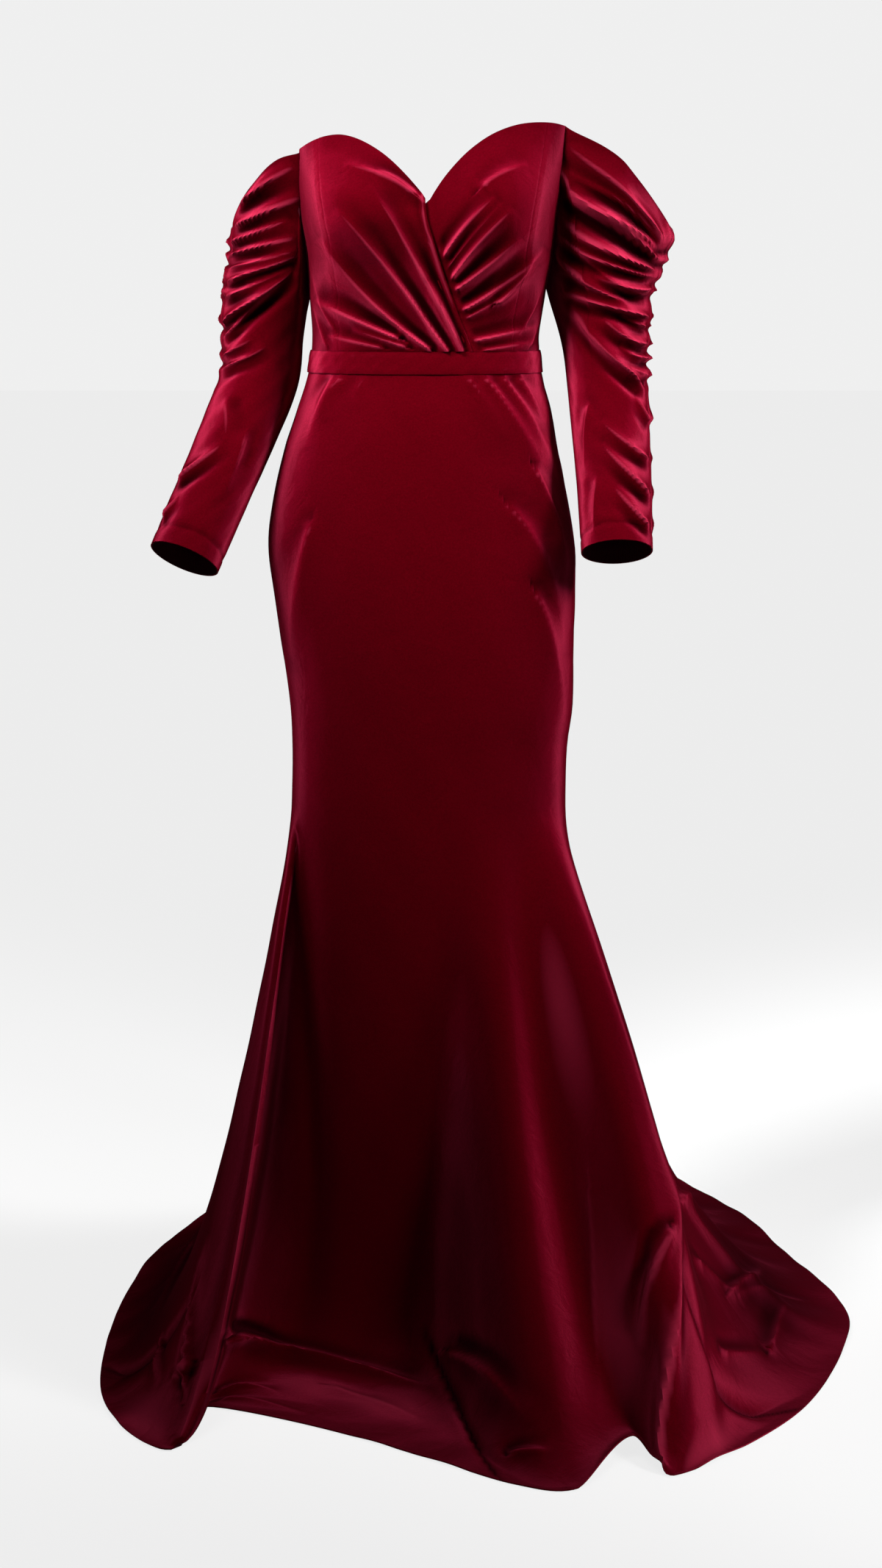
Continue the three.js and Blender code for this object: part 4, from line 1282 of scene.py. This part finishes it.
class GOWN_OT_sleeves(bpy.types.Operator):
    """Sew the gathered sleeves, each from a front and a back"""

    bl_idname = "gown.sleeves"
    bl_label = "Gathered sleeves"

    def execute(self, context):
        sizes = context.scene.gown_sizes
        for side, sign in (("left", 1), ("right", -1)):
            rows = [
                row._replace(
                    x0=math.radians(row.x0) * ARM_ROUND,
                    xm=math.radians(row.xm) * ARM_ROUND,
                    x1=math.radians(row.x1) * ARM_ROUND,
                )
                for row in GATHERS[side]
            ]

            def surface(u, v, side=side, sign=sign):
                return sleeve(side, sign * u, v)

            def relief(u, v, p, side=side, sign=sign, rows=rows):
                turn = sign * u
                # The back's gathers mirror the front's, spread a little wider round the arm
                mirrored = np.where(turn <= OUTER_SEAM, turn, OUTER_SEAM + (OUTER_SEAM - turn) * 0.8)
                x = np.radians(mirrored) * ARM_ROUND
                z = p[..., 2]
                # Gathers fade out at the cuff, the top edge and the underarm seam
                fade = ease(v / 0.03 + 0.1) * ease((1 - v) / 0.02 + 0.2)
                fade = fade * ease(np.minimum(turn, 360 - turn) / 24)
                gathers = crease_relief(x, z, rows, start=0.05, run=0.34)
                seam = -0.8 * bell(turn - OUTER_SEAM, 3)
                # Short puckers along the outer seam, from below the shoulder to above the elbow
                ruched = ease((150 - z) / 20) * ease((z + 40) / 30)
                lumps = np.sin(z / 3.6 + 1.6 * np.sin(z / 15) + 0.7 * np.sin(z / 6.1))
                puckers = 1.8 * lumps * bell(turn - OUTER_SEAM, 26)
                cuff = -0.8 * bell(v - 0.035, 0.006)
                if side == "left":
                    # The left sleeve caves in at its shoulder and bulges below
                    slack = -9 * bell(z - 200, 36) + 4 * bell(z - 138, 11)
                    seam = seam + slack * bell(turn - OUTER_SEAM, 42)
                folds = sizes.crease * gathers + puckers * ruched + 0.4 * ripple(x, z, 34, 6)
                return fade * folds + seam + cuff

            def place(low, high, sign=sign):
                return (low, high) if sign > 0 else (-high, -low)

            for name, across, hung_from, detail in (
                (f"sleeve_front_{side}", place(0, OUTER_SEAM), f"bodice_side_{side}", 0.68),
                (f"sleeve_back_{side}", place(OUTER_SEAM, 360), f"sleeve_front_{side}", 0.5),
            ):
                sew_panel(
                    name,
                    surface,
                    relief,
                    across,
                    sizes,
                    detail=detail,
                )
        return {"FINISHED"}


def split_view(tree, share, usual, to_camera, surface):
    """Mix a shader made for the camera into the usual one, by a share that only the camera's rays give."""
    either = tree.nodes.new("ShaderNodeMixShader")
    for output, socket in (
        (share, either.inputs["Fac"]),
        (usual, either.inputs[1]),
        (to_camera, either.inputs[2]),
        (either.outputs["Shader"], surface),
    ):
        tree.links.new(output, socket)


def turn_towards(direction):
    """The rotation of a lamp that shines in a direction."""
    return Vector(direction).to_track_quat("-Z", "Y").to_euler()


def add_light(name, kind, energy):
    """A lamp of a kind, its strength scaled by the stage's brightness, and the object that holds it."""
    light = bpy.data.lights.new(name, kind)
    light.energy = energy * bpy.context.scene.gown_stage.brightness
    holder = bpy.data.objects.new(name, light)
    bpy.context.collection.objects.link(holder)
    return light, holder


class GOWN_OT_stage(bpy.types.Operator):
    """Set the floor, the soft lamps and the camera"""

    bl_idname = "gown.stage"
    bl_label = "Stage"

    def execute(self, context):
        look = context.scene.gown_stage
        bpy.ops.object.select_all(action="DESELECT")
        bpy.ops.mesh.primitive_plane_add(size=FLOOR_SIZE, location=(0, 0, FLOOR / MM - FLOOR_DROP))
        floor = context.object
        floor.name = "floor"
        material, tree = node_material("pale_floor")
        shader = tree.nodes["Principled BSDF"]
        pale = (*look.floor, 1)
        feed(tree, shader, Base_Color=pale, Roughness=0.9)
        glow = add_node(tree, "Emission", "Emission", Color=pale, Strength=FLOOR_GLOW)
        share = tree.nodes.new("ShaderNodeMath")
        share.operation = "MULTIPLY"
        share.inputs[1].default_value = FLOOR_SHARE
        tree.links.new(add_node(tree, "LightPath", "Is Camera Ray"), share.inputs[0])
        surface = tree.nodes["Material Output"].inputs["Surface"]
        split_view(tree, share.outputs["Value"], shader.outputs["BSDF"], glow, surface)
        floor.data.materials.append(material)

        world = bpy.data.worlds.new("studio")
        world.use_nodes = True
        tree = world.node_tree
        fill = tree.nodes["Background"]
        feed(tree, fill, Color=(1, 1, 1, 1), Strength=FILL_LIGHT * look.brightness)
        backdrop = add_node(tree, "Background", "Background", Color=(*look.backdrop, 1))
        surface = tree.nodes["World Output"].inputs["Surface"]
        seen = add_node(tree, "LightPath", "Is Camera Ray")
        split_view(tree, seen, fill.outputs["Background"], backdrop, surface)
        context.scene.world = world
        context.scene.view_settings.view_transform = "Standard"

        sun, above = add_light("front_top_light", "SUN", SUN_POWER)
        sun.angle = math.radians(SUN_SOFTNESS)
        above.rotation_euler = turn_towards(-Vector(SUN_FROM))
        for lamp in LAMPS:
            light, holder = add_light(lamp.name, "AREA", lamp.power)
            light.shape = "RECTANGLE"
            light.size, light.size_y = lamp.size
            light.spread = math.radians(lamp.spread)
            holder.location = lamp.place
            holder.rotation_euler = turn_towards(Vector(lamp.target) - Vector(lamp.place))

        camera = bpy.data.cameras.new("camera")
        camera.sensor_width = SENSOR
        camera.lens = LENS_SHARE * SENSOR
        camera.clip_end = 100
        viewer = bpy.data.objects.new("camera", camera)
        viewer.location = CAMERA_PLACE
        viewer.rotation_euler = (math.radians(90 - CAMERA_TILT), 0, 0)
        context.collection.objects.link(viewer)
        context.scene.camera = viewer
        return {"FINISHED"}


class GOWN_PT_panel(bpy.types.Panel):
    """Lists the gown's pieces, sizes and colours"""

    bl_idname = "GOWN_PT_panel"
    bl_label = "Mermaid gown"
    bl_space_type = "VIEW_3D"
    bl_region_type = "UI"
    bl_category = "Gown"

    def draw(self, context):
        layout = self.layout
        for operator in OPERATORS:
            layout.operator(operator.bl_idname)
        for group in (context.scene.gown_sizes, context.scene.gown_velvet, context.scene.gown_stage):
            box = layout.box()
            for name in group.__annotations__:
                box.prop(group, name)


OPERATORS = (
    GOWN_OT_stage,
    GOWN_OT_fronts,
    GOWN_OT_sides,
    GOWN_OT_waistband,
    GOWN_OT_skirt,
    GOWN_OT_sleeves,
)
CLASSES = (GownSizes, VelvetLook, StageLook, *OPERATORS, GOWN_PT_panel)


def register():
    for cls in CLASSES:
        bpy.utils.register_class(cls)
    bpy.types.Scene.gown_sizes = PointerProperty(type=GownSizes)
    bpy.types.Scene.gown_velvet = PointerProperty(type=VelvetLook)
    bpy.types.Scene.gown_stage = PointerProperty(type=StageLook)


def unregister():
    del bpy.types.Scene.gown_stage
    del bpy.types.Scene.gown_velvet
    del bpy.types.Scene.gown_sizes
    for cls in reversed(CLASSES):
        bpy.utils.unregister_class(cls)


def main():
    register()
    bpy.ops.gown.stage()
    bpy.ops.gown.fronts()
    bpy.ops.gown.sides()
    bpy.ops.gown.waistband()
    bpy.ops.gown.skirt()
    bpy.ops.gown.sleeves()


if __name__ == "__main__":
    main()
